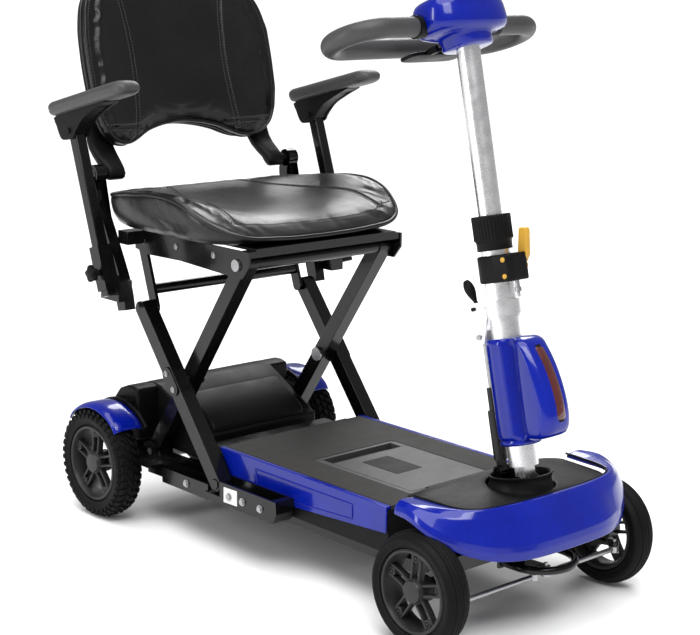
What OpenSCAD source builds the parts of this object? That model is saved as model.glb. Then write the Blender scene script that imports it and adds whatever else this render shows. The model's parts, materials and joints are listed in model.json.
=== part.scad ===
// Folding four-wheel mobility scooter. It stands on z = 0, its front faces -Y and +X is the rider's left.
// Places along the length are given as d, the distance forward of a datum just ahead of the rear axle.

/* [Chassis] */
// Distance between the front and rear axles
wheelbase = 766; // [740:1:920]
// Width over the two blue deck panels
deck_w = 316; // [300:1:380]
// Height of the deck mat's top
deck_top = 167; // [160:1:180]
// Rear edge of the deck, forward of the datum
deck_rear = 235; // [225:1:250]
// Thickness of the rubber deck mat
mat_t = 6; // [3:1:10]
// Height of the blue side panels
panel_h = 62; // [50:1:66]
// Width of the battery in its well
battery_w = 174; // [120:1:220]
// Length of the battery in its well
battery_l = 224; // [160:1:230]

/* [Wheels] */
// Diameter of the rear tyres
rear_d = 192; // [184:1:200]
// Width of the rear tyres
rear_tyre_w = 50; // [40:1:56]
// Diameter of the rear rims
rear_rim_d = 130; // [116:1:140]
// Diameter of the front tyres
front_d = 172; // [150:1:180]
// Width of the front tyres
front_tyre_w = 43; // [34:1:48]
// Diameter of the front rims
front_rim_d = 124; // [104:1:132]
// Diameter of the rear half shafts
half_shaft_d = 17; // [14:1:20]
// Diameter of the front stub axles
stub_d = 12; // [10:1:16]

/* [Seat lift] */
// Side of the square scissor tube
leg_w = 26; // [20:1:28]
// Length of the inner scissor leg between its end pivots
leg_len = 435.7; // [420:1:450]
// Lean of the inner leg above the floor, in degrees
leg_angle = 55.9; // [54:0.1:57]
// Height of the scissor feet
foot_z = 116; // [114:1:122]
// Diameter of the scissor pivot pins
pin_d = 12; // [8:1:14]
// Diameter of the front cross tube
front_tube_d = 22; // [18:1:26]
// Diameter of the rear cross tube
rear_tube_d = 18; // [14:1:20]

/* [Seat and back] */
// Width of the seat cushion
seat_w = 440; // [360:1:446]
// Depth of the seat cushion
seat_depth = 362; // [330:1:372]
// Thickness of the seat cushion at its raised sides
seat_t = 84; // [74:1:88]
// Width of the backrest
back_w = 408; // [340:1:430]
// Height of the backrest
back_h = 300; // [240:1:330]
// Backward lean of the backrest, in degrees
back_lean = 14; // [10:1:17]
// Distance between the two armrest centres
arms_apart = 518; // [510:1:600]
// Length of an armrest pad
arm_pad_l = 216; // [180:1:240]
// Width of an armrest pad
arm_pad_w = 52; // [40:1:54]
// Side of the square armrest post
post_w = 20; // [16:1:22]

/* [Tiller] */
// Backward lean of the tiller, in degrees
tiller_lean = 13.1; // [11:0.1:15]
// Height of the tiller's fold pivot
tiller_z = 205; // [203:1:210]
// Diameter of the tiller's outer tube
outer_tube_d = 44; // [41:1:48]
// Diameter of the telescoping inner tube
inner_tube_d = 35; // [30:1:37]
// Length from the fold pivot to the top of the outer tube
outer_tube_l = 356; // [350:1:370]
// Length from the fold pivot to the top of the inner tube
inner_top = 664; // [640:1:720]
// Width over the handlebar loop
bar_w = 400; // [380:1:430]
// Diameter of the handlebar loop's grip
grip_d = 30; // [26:1:34]

/* [Fits] */
// Radial running clearance of pins and shafts
fit_gap = 0.05; // [0.02:0.01:0.08]
// Side gap between parts that move past each other
side_gap = 1.5; // [1:0.1:2]
// Gap left around soft pieces and sliding covers
soft_gap = 0.5; // [0.3:0.1:1]
// Thickness of steel plate
plate_t = 4; // [3:0.5:5]
// Wall of the square and round tubes
tube_t = 2; // [1.5:0.5:3]

/* [Hidden] */
$fn = 64;
eps = 0.01;

// Axles along the length
axle_back = 14;
front_axle = wheelbase - axle_back;
axle_p = [-axle_back, rear_d / 2];

// Planes across the width, counted out from the middle
half_deck = deck_w / 2;
leg_in_x = half_deck - leg_w;
leg_out_x = half_deck + 5;
leg_out_x2 = leg_out_x + leg_w;
rail_x = leg_out_x2 + 2.5;
wheel_in_x = leg_out_x2 + 7;
front_in_x = wheel_in_x - 15;
kingpin_x = front_in_x - 23;
clevis_x = leg_in_x - side_gap;
seat_plate_x = half_deck + 3;
link_x = seat_plate_x - 0.7 - 6;
post_x = arms_apart / 2;
upright_x = post_x - 59;

// Heights and radii of the wheels
rear_r = rear_d / 2;
front_r = front_d / 2;

// Scissor pivots as [distance forward, height]
foot_b = [46, foot_z];
foot_a = [264, foot_z];
cross_len = 178.6;
upper_a = 138.2;
leg_dir = [cos(leg_angle), sin(leg_angle)];
cross_p = foot_b + cross_len * leg_dir;
seat_p = foot_b + leg_len * leg_dir;
angle_a = atan2(cross_p[1] - foot_a[1], foot_a[0] - cross_p[0]);
leg_a_dir = [-cos(angle_a), sin(angle_a)];
top_a = cross_p + upper_a * leg_a_dir;

// Seat frame: the swing link hangs from link_p and meets the outer leg's top
link_p = seat_p + [-264.7, -3];
link_len = norm(top_a - link_p);
link_tube_p = link_p + 0.72 * (top_a - link_p);
plate_low = -20;
plate_high = 24;
seat_base_z = seat_p[1] + plate_high + 5;
seat_front_d = seat_p[0] + 32;
seat_back_d = seat_front_d - seat_depth;

// Back frame: the backrest hinge and the armrest posts lean by post_lean
hinge_p = [-30, seat_p[1] + 115];
post_lean = 19;
post_top = [-18, seat_p[1] + 201];
post_dir = [-sin(post_lean), cos(post_lean)];
post_l = 288;
sleeve_l = 74;
sleeve_from = 10;
post_low = post_top - post_l * post_dir;
arm_tilt = 14;
arm_back = 42;
arm_pad_t = 27;
arm_rise = 42;

// Backrest: a sheet curved about an upright axis, with an arch cut in its lower edge
back_low = 42;
back_curve_r = 520;
back_sag = 36;
cushion_half = 19;
shell_y = [cushion_half + 0.3, cushion_half + 8];
arch_half = 122;
arch_rise = 34;
arch_r = (arch_half * arch_half + arch_rise * arch_rise) / (2 * arch_rise);

// Reach of the object before the front axle and behind the datum, and the datum's place from them
nose_reach = 106;
tail_reach = (back_sag + shell_y[1]) * cos(back_lean) + (back_low + back_h - 10) * sin(back_lean) - hinge_p[0];
rear_y = (front_axle + nose_reach - tail_reach) / 2;

// Tiller, in its own axes: s runs up the tube from the fold pivot, the rider's side is +Y
tiller_d = front_axle + 12;
column_r = 22;
inner_low = 150;
shroud_s = [66, 214];
strut_y = 45;
strut_low = 18;
strut_high = 218;
head_s = inner_top - 8;
head_tilt = -8;
strut_foot = [tiller_d - strut_y * cos(tiller_lean) - strut_low * sin(tiller_lean),
  tiller_z - strut_y * sin(tiller_lean) + strut_low * cos(tiller_lean)];

// ---- Helpers ----

// Place of [distance forward, height] in the side view, as [y, z]
function sv(p) = [rear_y - p[0], p[1]];

// Puts children at [distance forward, height] and x
module at(x, p) translate([x, rear_y - p[0], p[1]]) children();

// The stretch from a to b past a place c
function span(c, a, b) = [c + a, c + b];

// Extrudes a side-view outline from x0 to x1
module slab(x0, x1) translate([x0, 0, 0]) rotate([90, 0, 90]) linear_extrude(x1 - x0) children();

// Round bar along X from x0 to x1 at a side-view place
module rod_x(r, x0, x1, p) at(x0, p) rotate([0, 90, 0]) cylinder(r = r, h = x1 - x0);

// Box from its [x0, x1], [d0, d1] and [z0, z1]
module block(x, d, z)
  translate([x[0], rear_y - d[1], z[0]]) cube([x[1] - x[0], d[1] - d[0], z[1] - z[0]]);

// The same shape on the left as given, and mirrored on the right
module pair() {
  children();
  mirror([1, 0, 0]) children();
}

// A shape given for the left, drawn on one side: 1 left, -1 right
module on_side(s) mirror([s < 0 ? 1 : 0, 0, 0]) children();

// Straight strip of width w between two side-view points, with round ends if round_ends is true
module strip(p, q, w, round_ends = true) {
  a = sv(p);
  b = sv(q);
  translate(a) rotate(atan2(b[1] - a[1], b[0] - a[0])) translate([0, -w / 2]) square([norm(b - a), w]);
  if (round_ends) {
    translate(a) circle(d = w);
    translate(b) circle(d = w);
  }
}

// Unit normal of a list of side-view points at its i-th point
function normal_at(p, i) = let (v = p[min(i + 1, len(p) - 1)] - p[max(i - 1, 0)]) [-v[1], v[0]] / norm(v);

// Bent strip of width w through a list of side-view points, with square ends
module strips(p, w) polygon(concat(
  [for (i = [0 : len(p) - 1]) sv(p[i] + w / 2 * normal_at(p, i))],
  [for (i = [len(p) - 1 : -1 : 0]) sv(p[i] - w / 2 * normal_at(p, i))]));

// Rectangle with round corners, centred
module round_rect(w, h, r) {
  square([w - 2 * r, h], center = true);
  square([w, h - 2 * r], center = true);
  for (x = [-1, 1], y = [-1, 1]) translate([x * (w / 2 - r), y * (h / 2 - r)]) circle(r = r);
}

// Hexagon bolt head with its washer, standing out along +X
module bolt_head(af = 10, h = 5) {
  rotate([0, 90, 0]) cylinder(r = af * 0.72, h = 1.5);
  translate([1.5, 0, 0]) rotate([0, 90, 0]) cylinder(r = af / 2, h = h - 1.5);
}

// The tiller's own axes, from its fold pivot
module tiller_axes() at(0, [tiller_d, tiller_z]) rotate([-tiller_lean, 0, 0]) children();

// ---- Rear frame and base ----

frame_end = deck_rear + 2;
axle_bore = half_shaft_d / 2 + fit_gap;

// Side view of one rear side plate, with the axle and foot bores cut out
module side_plate_outline() difference() {
  union() {
    strip([-62, 98], [frame_end, 98], 28, false);
    translate(sv(axle_p)) circle(r = 24);
    translate(sv(foot_b)) circle(r = 19);
  }
  translate(sv(axle_p)) circle(r = axle_bore);
  translate(sv(foot_b)) circle(r = pin_d / 2 + fit_gap);
}

module rear_frame() color("#1b1b1c") {
  pair() {
    slab(clevis_x - plate_t, clevis_x) side_plate_outline();
    slab(half_deck + side_gap, half_deck + side_gap + 3) side_plate_outline();
    block([clevis_x - eps, half_deck + side_gap + eps], [60, frame_end], [84, 88]);
    block([clevis_x - eps, half_deck + side_gap + eps], [-62, -56], [84, 112]);
    // Outer sill behind the side rail, and the trailing lug behind the wheel
    block([half_deck + side_gap + 3 - eps, leg_out_x2 - 1], [118, 244], [84, 88]);
    block([leg_out_x2 - 4, leg_out_x2 - 1], [118, 244], [84, 110]);
    slab(half_deck + side_gap + 1, leg_out_x2 - 13) strips([[150, 97], [112, 91], [60, 90]], 9);
  }
  // Cross-beam behind the deck, the floor plate under it and the rear cross-bar
  block([-clevis_x + plate_t - eps, clevis_x - plate_t + eps], [172, 204], [100, 152]);
  block([-clevis_x + plate_t - eps, clevis_x - plate_t + eps], [56, frame_end], [88, 92]);
  block([-clevis_x + plate_t - eps, clevis_x - plate_t + eps], [-62, -50], [86, 110]);
}

rail_from = 245;
rail_to = deck_rear + 184;
rail_wall_from = foot_a[0] + 21;
rail_floor = foot_z - 14.5;

// Channel that guides the outer leg's foot: inner wall, floor and an outer wall that starts ahead of the foot
module side_rails() color("#222223") pair() {
  slab(half_deck + 0.5, half_deck + 3.5) polygon([for (p = [
    [rail_from, 90], [rail_to, 92], [rail_to + 8, 108], [rail_to + 6, 127], [rail_from, 127]]) sv(p)]);
  slab(half_deck + 3, rail_x + 4) polygon([for (p = [
    [rail_from, 90], [rail_to, 92], [rail_to, rail_floor], [rail_from, rail_floor]]) sv(p)]);
  slab(rail_x, rail_x + 4) polygon([for (p = [
    [rail_wall_from, 90], [rail_to, 92], [rail_to + 8, 108], [rail_to + 6, 127], [rail_wall_from, 127]]) sv(p)]);
  slab(half_deck + 3, rail_x + eps) polygon([for (p = [
    [rail_to - 8, 92], [rail_to, 92], [rail_to + 8, 108], [rail_to + 6, 127], [rail_to - 8, 127]]) sv(p)]);
}

deck_front = front_axle - 118;
well = [deck_rear + 153, deck_rear + 153 + battery_l];
tray_z = deck_top - mat_t - 67;

// Steel pan that the mat lies on, with the well that takes the battery
module deck_tray() color("#202021") {
  difference() {
    block([-half_deck + 4, half_deck - 4], [deck_rear + 2, deck_front], [tray_z, deck_top - mat_t]);
    block([-half_deck + 8, half_deck - 8], [deck_rear + 6, deck_front - 4], [tray_z - 1, deck_top - mat_t - 4]);
    block([-battery_w / 2 - 1, battery_w / 2 + 1], [well[0] - 1, well[1] + 1], [tray_z, deck_top]);
  }
  difference() {
    block([-battery_w / 2 - 4, battery_w / 2 + 4], [well[0] - 4, well[1] + 4], [tray_z, deck_top - mat_t - 3]);
    block([-battery_w / 2 - 1, battery_w / 2 + 1], [well[0] - 1, well[1] + 1], [tray_z + 3, deck_top]);
  }
}

// Blue side panels: a flat skin whose rear edge slants, with a lip over the deck's edge
module deck_panels() color("#2f35a8") pair() {
  slab(half_deck - 3.5, half_deck) polygon([for (p = [
    [deck_rear, deck_top], [deck_front, deck_top], [deck_front, deck_top - panel_h + 21],
    [deck_rear + 169, deck_top - panel_h + 6], [deck_rear + 44, deck_top - panel_h]]) sv(p)]);
  block([half_deck - 10, half_deck - 3], [deck_rear, deck_front], [deck_top - 5, deck_top]);
}

// Ribbed rubber mat, cut out round the battery and notched at its rear corners
module deck_mat() color("#3b3a38") difference() {
  block([-half_deck + 10.5, half_deck - 10.5], [deck_rear + 2, deck_front], [deck_top - mat_t, deck_top]);
  block([-battery_w / 2 - 1, battery_w / 2 + 1], [well[0] - 1, well[1] + 1], [0, deck_top + 1]);
  pair() block([half_deck - 40, half_deck], [deck_rear - 1, deck_rear + 6], [0, deck_top + 1]);
}

// Battery case with a grip recess along its rear edge
module battery_case() color("#4a4a4b") difference() {
  block([-battery_w / 2, battery_w / 2], well, [tray_z + 3, deck_top]);
  block([-battery_w / 2 + 12, battery_w / 2 - 12], [well[0] + 8, well[0] + 34], [deck_top - 22, deck_top + 1]);
  block([-battery_w / 2 + 4, battery_w / 2 - 4], [well[0] + 40, well[1] - 6], [tray_z + 6, deck_top - 4]);
}

// Two rows of round cells inside the case
cell_r = 10;
cell_rows = floor((battery_l - 60) / (2 * cell_r + 1));
cell_columns = floor((battery_w - 20) / (2 * cell_r + 1));
module battery_cells() color("#5f8f6a") {
  for (i = [0 : cell_rows - 1], j = [0 : cell_columns - 1])
    at((j - (cell_columns - 1) / 2) * (2 * cell_r + 1), [well[0] + 52 + i * (2 * cell_r + 1), tray_z + 6.2])
      cylinder(r = cell_r, h = 46, $fn = 13);
}

bar_z = [tray_z - 18, tray_z];
axle_beam_z = [100, 124];

// Two bars under the deck, the front stem, the axle beam with its kingpin bosses and the column bearing
module front_frame() color("#232324") difference() {
  union() {
    pair() block([half_deck - 30, half_deck - 14], [frame_end, front_axle - 60], bar_z);
    block([-half_deck + 30 - eps, half_deck - 30 + eps], [front_axle - 84, front_axle - 60], bar_z);
    block([-38, 38], [front_axle - 84, front_axle + 14], [bar_z[1] - eps, axle_beam_z[1]]);
    block([-kingpin_x, kingpin_x], [front_axle - 14, front_axle + 14], axle_beam_z);
    pair() at(kingpin_x, [front_axle, axle_beam_z[0]]) cylinder(r = 14, h = 24);
    at(0, [front_axle, axle_beam_z[0]]) cylinder(r = column_r + 5, h = tiller_z - 34 - axle_beam_z[0]);
  }
  pair() at(kingpin_x, [front_axle, axle_beam_z[0] - 1]) cylinder(d = pin_d + 2 * fit_gap, h = 40);
  at(0, [front_axle, 60]) cylinder(d = column_r + 2 * fit_gap, h = 160);
}

// Rubbing loop below the nose
bumper_z = 96;
module front_bumper() color("#161617") {
  translate([0, rear_y - front_axle - 42, bumper_z]) rotate_extrude(angle = -180) translate([52, 0]) circle(r = 6);
  pair() at(52, [front_axle + 42 + eps, bumper_z]) rotate([-90, 0, 0]) cylinder(r = 6, h = 27);
  pair() block([44, 60], [front_axle + 14, front_axle + 19], [bumper_z - 8, bumper_z + 8]);
}

nose_z = [130, 206];
cover_half = 152;
side_z = front_d + 12;
corner_z = side_z - 26;

// Plan outline of the front fender, inset by t, as [across, behind the axle]
fender_half = [[206, 54], [212, 8], [205, -22], [187, -46], [157, -70], [120, -90], [62, -nose_reach]];
function inset(p, t) = [p[0] - t * (p[1] > -80 ? 1 : 0.4), p[1] + t * (p[1] < 50 ? min(1, max(0, -p[1] / 50)) : 0)];
function fender_plan(t) = concat([for (p = fender_half) inset(p, t)],
  [for (i = [len(fender_half) - 1 : -1 : 0]) [-inset(fender_half[i], t)[0], inset(fender_half[i], t)[1]]]);

// Blue skirt: a band over both wheels that steps down into the nose between them
module front_fender() color("#2a31b5") translate([0, rear_y - front_axle, 0]) difference() {
  union() {
    translate([0, 0, side_z]) linear_extrude(nose_z[1] - 10 - side_z) polygon(fender_plan(0));
    translate([0, 0, nose_z[1] - 10 - eps]) linear_extrude(10) polygon(fender_plan(9));
    intersection() {
      translate([0, 0, corner_z]) linear_extrude(side_z - corner_z + eps) polygon(fender_plan(0));
      translate([-160, -200, 0]) cube([320, 200 - 56, 300]);
    }
    intersection() {
      translate([0, 0, nose_z[0]]) linear_extrude(corner_z - nose_z[0] + eps) polygon(fender_plan(0));
      translate([-146, -200, 0]) cube([292, 200 - 70, 300]);
    }
  }
  translate([0, 0, nose_z[0] - 1]) linear_extrude(nose_z[1] - nose_z[0] - 12) polygon(fender_plan(4));
  translate([0, 0, nose_z[0]]) linear_extrude(nose_z[1] - nose_z[0] - 4) polygon(fender_plan(13));
  translate([-cover_half, -58, side_z]) cube([2 * cover_half, 140, 60]);
}

// Dark cover over the stem, with a round opening for the boot
module front_cover() color("#2b2b2d") translate([0, rear_y - front_axle, 0]) difference() {
  union() {
    translate([-cover_half + 0.4, -57.6, side_z + 4]) cube([2 * cover_half - 0.8, 175.3, 10]);
    translate([-84, 60, deck_top - 30]) cube([168, 57.7, side_z + 34 - deck_top]);
  }
  cylinder(r = 52, h = 300);
  translate([-80, 59, deck_top - 31]) cube([160, 54.7, side_z + 31 - deck_top]);
}

cover_x = clevis_x - plate_t - 1;

// Side view of the motor cover
cover_line = [[-66, 116], [-58, 176], [-34, 214], [-10, 224], [24, 222], [52, 208], [150, 158], [150, 116]];
cover_in = [[-62, 115], [-54, 174], [-32, 210], [-9, 220], [23, 218], [50, 204], [146, 155], [146, 115]];
cover_wide = leg_out_x2 - 21;
cover_ends = [[-66, 130], [-58, 176], [-34, 214], [-10, 224], [20, 222.1], [20, 130]];
cover_ends_in = [[-60, 129], [-54, 174], [-32, 210], [-9, 220], [16, 218.3], [16, 129]];
module motor_cover() color("#2c2c2e") {
  difference() {
    union() {
      slab(-cover_x, cover_x) polygon([for (p = cover_line) sv(p)]);
      slab(-cover_wide, cover_wide) polygon([for (p = cover_ends) sv(p)]);
    }
    slab(-cover_x + 4, cover_x - 4) polygon([for (p = cover_in) sv(p)]);
    slab(-cover_wide + 4, cover_wide - 4) polygon([for (p = cover_ends_in) sv(p)]);
    pair() rod_x(26, cover_x - 10, cover_x + 10, axle_p);
  }
  // Raised front panel
  slab(-cover_x + 26, cover_x - 26) polygon([for (p = [
    [60, 203.8], [64, 214], [74, 212], [146, 172], [146, 159.9]]) sv(p)]);
}

// Blue rear fenders, one over each rear wheel
fender_r = rear_r + 9;
module rear_fenders() color("#2a31b5") pair() difference() {
  union() {
    rod_x(fender_r, wheel_in_x - 14, wheel_in_x + rear_tyre_w - 4, axle_p);
    block([cover_wide + 0.3, wheel_in_x - 12], [-34, 10], [rear_r + 97, rear_r + 104]);
  }
  rod_x(fender_r - 4, wheel_in_x - 10, wheel_in_x + rear_tyre_w - 8, axle_p);
  rod_x(rear_r + 2.5, wheel_in_x - 20, wheel_in_x + rear_tyre_w + 20, axle_p);
  block([0, 400], [-200, 200], [-50, rear_r + 72]);
}

motor_d = 72;
motor_p = [92, axle_p[1] + 42];
gear_case_d = 70;

// Gear case with the bearing tubes that hold the half shafts
module transaxle() color("#8b8c8e") difference() {
  union() {
    rod_x(gear_case_d / 2, -16, 44, axle_p);
    rod_x(20, -clevis_x + plate_t, clevis_x - plate_t, axle_p);
    block([-10, 36], [4, 66], [rear_r - 4, rear_r + 34]);
  }
  rod_x(axle_bore, -400, 400, axle_p);
}

// Electric motor, flanged to the gear case
module drive_motor() color("#5b5c5e") {
  rod_x(motor_d / 2, -104, -10.1, motor_p);
  rod_x(15, -10.1 - eps, -10, motor_p);
  rod_x(motor_d / 2 + 3, -22, -14, motor_p);
}

// Motor controller on the floor plate
module controller() color("#6d6e70") {
  block([46, 110], [60, 140], [92, 122]);
  for (i = [0 : 7]) block([50 + i * 7.4, 53 + i * 7.4], [64, 136], [122 - eps, 130]);
}

// Bolt heads on the side rails, the sills, the cross-beam and under the seat frame's feet
module frame_bolts() color("#3a3a3b") {
  pair() {
    for (d = [310, 344, 388]) at(rail_x + 4, [d, 108]) bolt_head(9, 4);
    at(leg_out_x2 - 1, [186, 98]) bolt_head(9, 4);
  }
  for (x = [-70, 0, 70]) at(x, [204, 130]) rotate([0, 0, -90]) bolt_head(8, 4);
}

// ---- Wheels ----

// Tyre section turned about the wheel's axis: outer radius r, rim seat radius ri, from x0, width w
module tyre(r, ri, x0, w, p) at(x0, p) rotate([0, 90, 0]) rotate_extrude($fn = 96) difference() {
  translate([(r + ri) / 2, w / 2]) round_rect(r - ri, w, 11);
  translate([ri - 1, w / 2]) round_rect(16, w - 18, 4);
}

// Five-spoke rim with a shaft bore
module rim(r, x0, w, bore_r, p) at(x0, p) rotate([0, 90, 0]) difference() {
  union() {
    difference() {
      cylinder(r = r - 0.05, h = w);
      translate([0, 0, -1]) cylinder(r = r - 7, h = w + 2);
    }
    cylinder(r = 19, h = w - 4);
    translate([0, 0, w - 20]) linear_extrude(12) for (i = [0 : 4], k = [-1, 1])
      rotate(i * 72 + k * 11) translate([14, -5]) square([r - 19, 10]);
  }
  translate([0, 0, -1]) cylinder(r = bore_r, h = w + 2);
}

module rear_tyre(s) color("#202020") on_side(s)
  tyre(rear_r, rear_rim_d / 2, wheel_in_x, rear_tyre_w, axle_p);

// Rear rim with the half shaft that drives it, and its cap
module rear_rim(s) color("#38383a") on_side(s) {
  rim(rear_rim_d / 2, wheel_in_x + 3, rear_tyre_w - 8, half_shaft_d / 2 - eps, axle_p);
  rod_x(half_shaft_d / 2, 50, wheel_in_x + rear_tyre_w - 4, axle_p);
  rod_x(13, wheel_in_x + rear_tyre_w - 9 - eps, wheel_in_x + rear_tyre_w + 5, axle_p);
}

module front_tyre(s) color("#202020") on_side(s)
  tyre(front_r, front_rim_d / 2, front_in_x, front_tyre_w, [front_axle, front_r]);

module front_rim(s) color("#38383a") on_side(s) {
  rim(front_rim_d / 2, front_in_x + 3, front_tyre_w - 7, stub_d / 2 + fit_gap, [front_axle, front_r]);
  rod_x(12, front_in_x + front_tyre_w - 8 + eps, front_in_x + front_tyre_w + 4, [front_axle, front_r]);
}

ball_in = 13;
arm_reach = 44;
rod_z = 77;

// Steering knuckle: kingpin, upright, stub axle and steering arm
module knuckle(s) color("#2e2e30") on_side(s) difference() {
  union() {
    at(kingpin_x, [front_axle, axle_beam_z[0] - 12]) cylinder(d = pin_d, h = 40);
    at(kingpin_x, [front_axle, rod_z]) cylinder(r = 12, h = axle_beam_z[0] - 1 - rod_z);
    at(kingpin_x, [front_axle, axle_beam_z[1] + 1]) cylinder(r = 10, h = 6);
    rod_x(stub_d / 2, kingpin_x, front_in_x + front_tyre_w - 8, [front_axle, front_r]);
    rod_x(12, kingpin_x, front_in_x + 2.5, [front_axle, front_r]);
    translate([kingpin_x, rear_y - front_axle, rod_z]) linear_extrude(6)
      polygon([[-9, 0], [9, 0], [ball_in + 5, -arm_reach], [ball_in - 5, -arm_reach]]);
    at(kingpin_x + ball_in, [front_axle + arm_reach, rod_z]) cylinder(r = 6.5, h = 6);
  }
  at(kingpin_x + ball_in, [front_axle + arm_reach, rod_z - 1]) cylinder(r = 3 + fit_gap, h = 20);
}

// Tie rod from the drop arm to the knuckle arm, with a pin up through each end
module tie_rod(s) color("#3c3c3e") on_side(s) {
  for (x = [ball_in, kingpin_x + ball_in]) at(x, [front_axle + arm_reach, rod_z - 10]) {
    cylinder(r = 7, h = 9);
    cylinder(r = 3, h = 20);
  }
  rod_x(4, ball_in, kingpin_x + ball_in, [front_axle + arm_reach, rod_z - 5.5]);
}

// Column in the frame's bearing, with the drop arm below and the fold clevis above
clevis_w = 22;
module steering_column() color("#303032") difference() {
  union() {
    at(0, [front_axle, rod_z]) cylinder(r = column_r / 2, h = tiller_z - 34 - rod_z + 3);
    translate([0, rear_y - front_axle, rod_z]) linear_extrude(6)
      polygon([[-14, 0], [14, 0], [ball_in + 6, -arm_reach - 4], [-ball_in - 6, -arm_reach - 4]]);
    at(0, [front_axle, tiller_z - 31 - eps]) cylinder(r = 34, h = 6);
    pair() slab(clevis_w / 2 + 1.2, clevis_w / 2 + 7.2)
      strip([tiller_d, tiller_z], [tiller_d, tiller_z - 20], 24);
    // Lugs at the strut's foot, with wide holes round its pin
    pair() slab(6.8, 11.8) difference() {
      union() {
        strips([[front_axle - 24, tiller_z - 30], strut_foot + [2, -14], strut_foot + [0, 2]], 12);
        translate(sv(strut_foot)) circle(r = 8);
      }
      translate(sv(strut_foot)) circle(r = 5.2);
    }
  }
  pair() at(ball_in, [front_axle + arm_reach, rod_z - 1]) cylinder(r = 3 + fit_gap, h = 20);
  rod_x(5 + fit_gap, -60, 60, [tiller_d, tiller_z]);
}

// Round dish round the clevis, cut low at the rider's side so that the tube folds over its rim
module tiller_boot() color("#1d1d1e") difference() {
  at(0, [front_axle, tiller_z - 31]) cylinder(r = 49, h = 49);
  at(0, [front_axle, tiller_z - 27]) cylinder(r = 45, h = 100);
  at(0, [front_axle, tiller_z - 40]) cylinder(r = 34 + fit_gap, h = 100);
  block([-60, 60], [front_axle - 60, front_axle + 6], [tiller_z + 6, tiller_z + 60]);
}

// ---- Tiller ----

module tiller_outer_tube() color("#b9bbbe") tiller_axes() {
  difference() {
    union() {
      translate([0, 0, 26]) cylinder(d = outer_tube_d, h = outer_tube_l - 26);
      translate([-clevis_w / 2, -10, -10]) cube([clevis_w, 20, 40]);
      translate([0, 0, 244]) cylinder(d = outer_tube_d + 5, h = 26);
    }
    translate([0, 0, 40]) cylinder(d = inner_tube_d + 2 * fit_gap, h = outer_tube_l);
  }
  rotate([0, 90, 0]) cylinder(r = 5, h = clevis_w + 22, center = true);
}

// Side view of the shroud in the tiller's axes, as [y, s], fullest near its foot
shroud_line = [[34, shroud_s[0]], [34, shroud_s[1]], [-44, shroud_s[1]], [-56, 204], [-68, 172], [-79, 138],
  [-85, 106], [-82, 82], [-72, 70], [-58, shroud_s[0]]];
shroud_in = [[29, shroud_s[0] + 5], [29, shroud_s[1] - 5], [-42, shroud_s[1] - 5], [-51, 200], [-63, 169],
  [-74, 136], [-80, 106], [-77, 84], [-69, 75], [-57, shroud_s[0] + 5]];

module shroud_plan(t) {
  circle(r = outer_tube_d / 2 + 12 - t);
  translate([0, -40]) round_rect(60 - 2 * t, 90 - 2 * t, 26 - t);
}

// Stretch of the shroud's side view across the tiller, cut to its plan
module shroud_solid(line, t) intersection() {
  translate([-50, 0, 0]) rotate([90, 0, 90]) linear_extrude(100) polygon(line);
  linear_extrude(300) shroud_plan(t);
}

// Blue shroud: a shell round the tube with a pod that swells to the front
module tiller_shroud() color("#2a31b5") tiller_axes() difference() {
  union() {
    shroud_solid(shroud_line, 0);
    translate([0, 0, shroud_s[0] - 8]) cylinder(r = outer_tube_d / 2 + 8, h = 9);
  }
  translate([0, 0, 40]) cylinder(d = outer_tube_d + 2 * soft_gap, h = 400);
  difference() {
    shroud_solid(shroud_in, 5);
    cylinder(r = outer_tube_d / 2 + 5, h = 400);
  }
  lens_place() translate([-9, -9, -1]) cube([18, 19, lens_l + 2]);
  // Slot at the rider's side, where the strut swings in as the tiller folds
  translate([-15, 20, 0]) cube([30, 40, 400]);
}

// Window in the shroud's sloping front
lens_l = 92;
module lens_place() translate([0, -82, 104]) rotate([-17.5, 0, 0]) children();

// Front lens, in the shroud's window
module tiller_lens() color("#5c1a16") tiller_axes() lens_place()
  translate([-8.7, -1, -0.7]) cube([17.4, 8, lens_l + 1.4]);

clamp_s = [296, 336];

// Split clamp that grips the outer tube's top, with the boss that carries the lever
module tiller_clamp() color("#1a1a1b") tiller_axes() difference() {
  union() {
    translate([0, 0, clamp_s[0]]) cylinder(d = outer_tube_d + 12, h = clamp_s[1] - clamp_s[0]);
    translate([-16, -44, clamp_s[0] + 4]) cube([32, 30, 32]);
    translate([0, -36, clamp_s[0] - 20]) cylinder(r = 4, h = 25);
  }
  translate([0, 0, clamp_s[0] - 1]) cylinder(d = outer_tube_d + 2 * fit_gap, h = 80);
  translate([-1.5, -60, clamp_s[0] - 30]) cube([3, 50, 90]);
  translate([-50, -36, clamp_s[0] + 20]) rotate([0, 90, 0]) cylinder(r = 4 + fit_gap, h = 100);
}

// Cam lever with its cross pin
module clamp_lever() color("#d9a514") tiller_axes() {
  translate([-18, -36, clamp_s[0] + 20]) rotate([0, 90, 0]) cylinder(r = 4, h = 42);
  translate([17, 0, 0]) rotate([90, 0, 90]) linear_extrude(7) {
    translate([-36, clamp_s[0] + 20]) circle(r = 9);
    translate([-36, clamp_s[0] + 20]) rotate(97) translate([0, -6]) square([52, 11]);
  }
}

latch_s = 262;
latch_pivot = [strut_y + 4, latch_s - 2];

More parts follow.
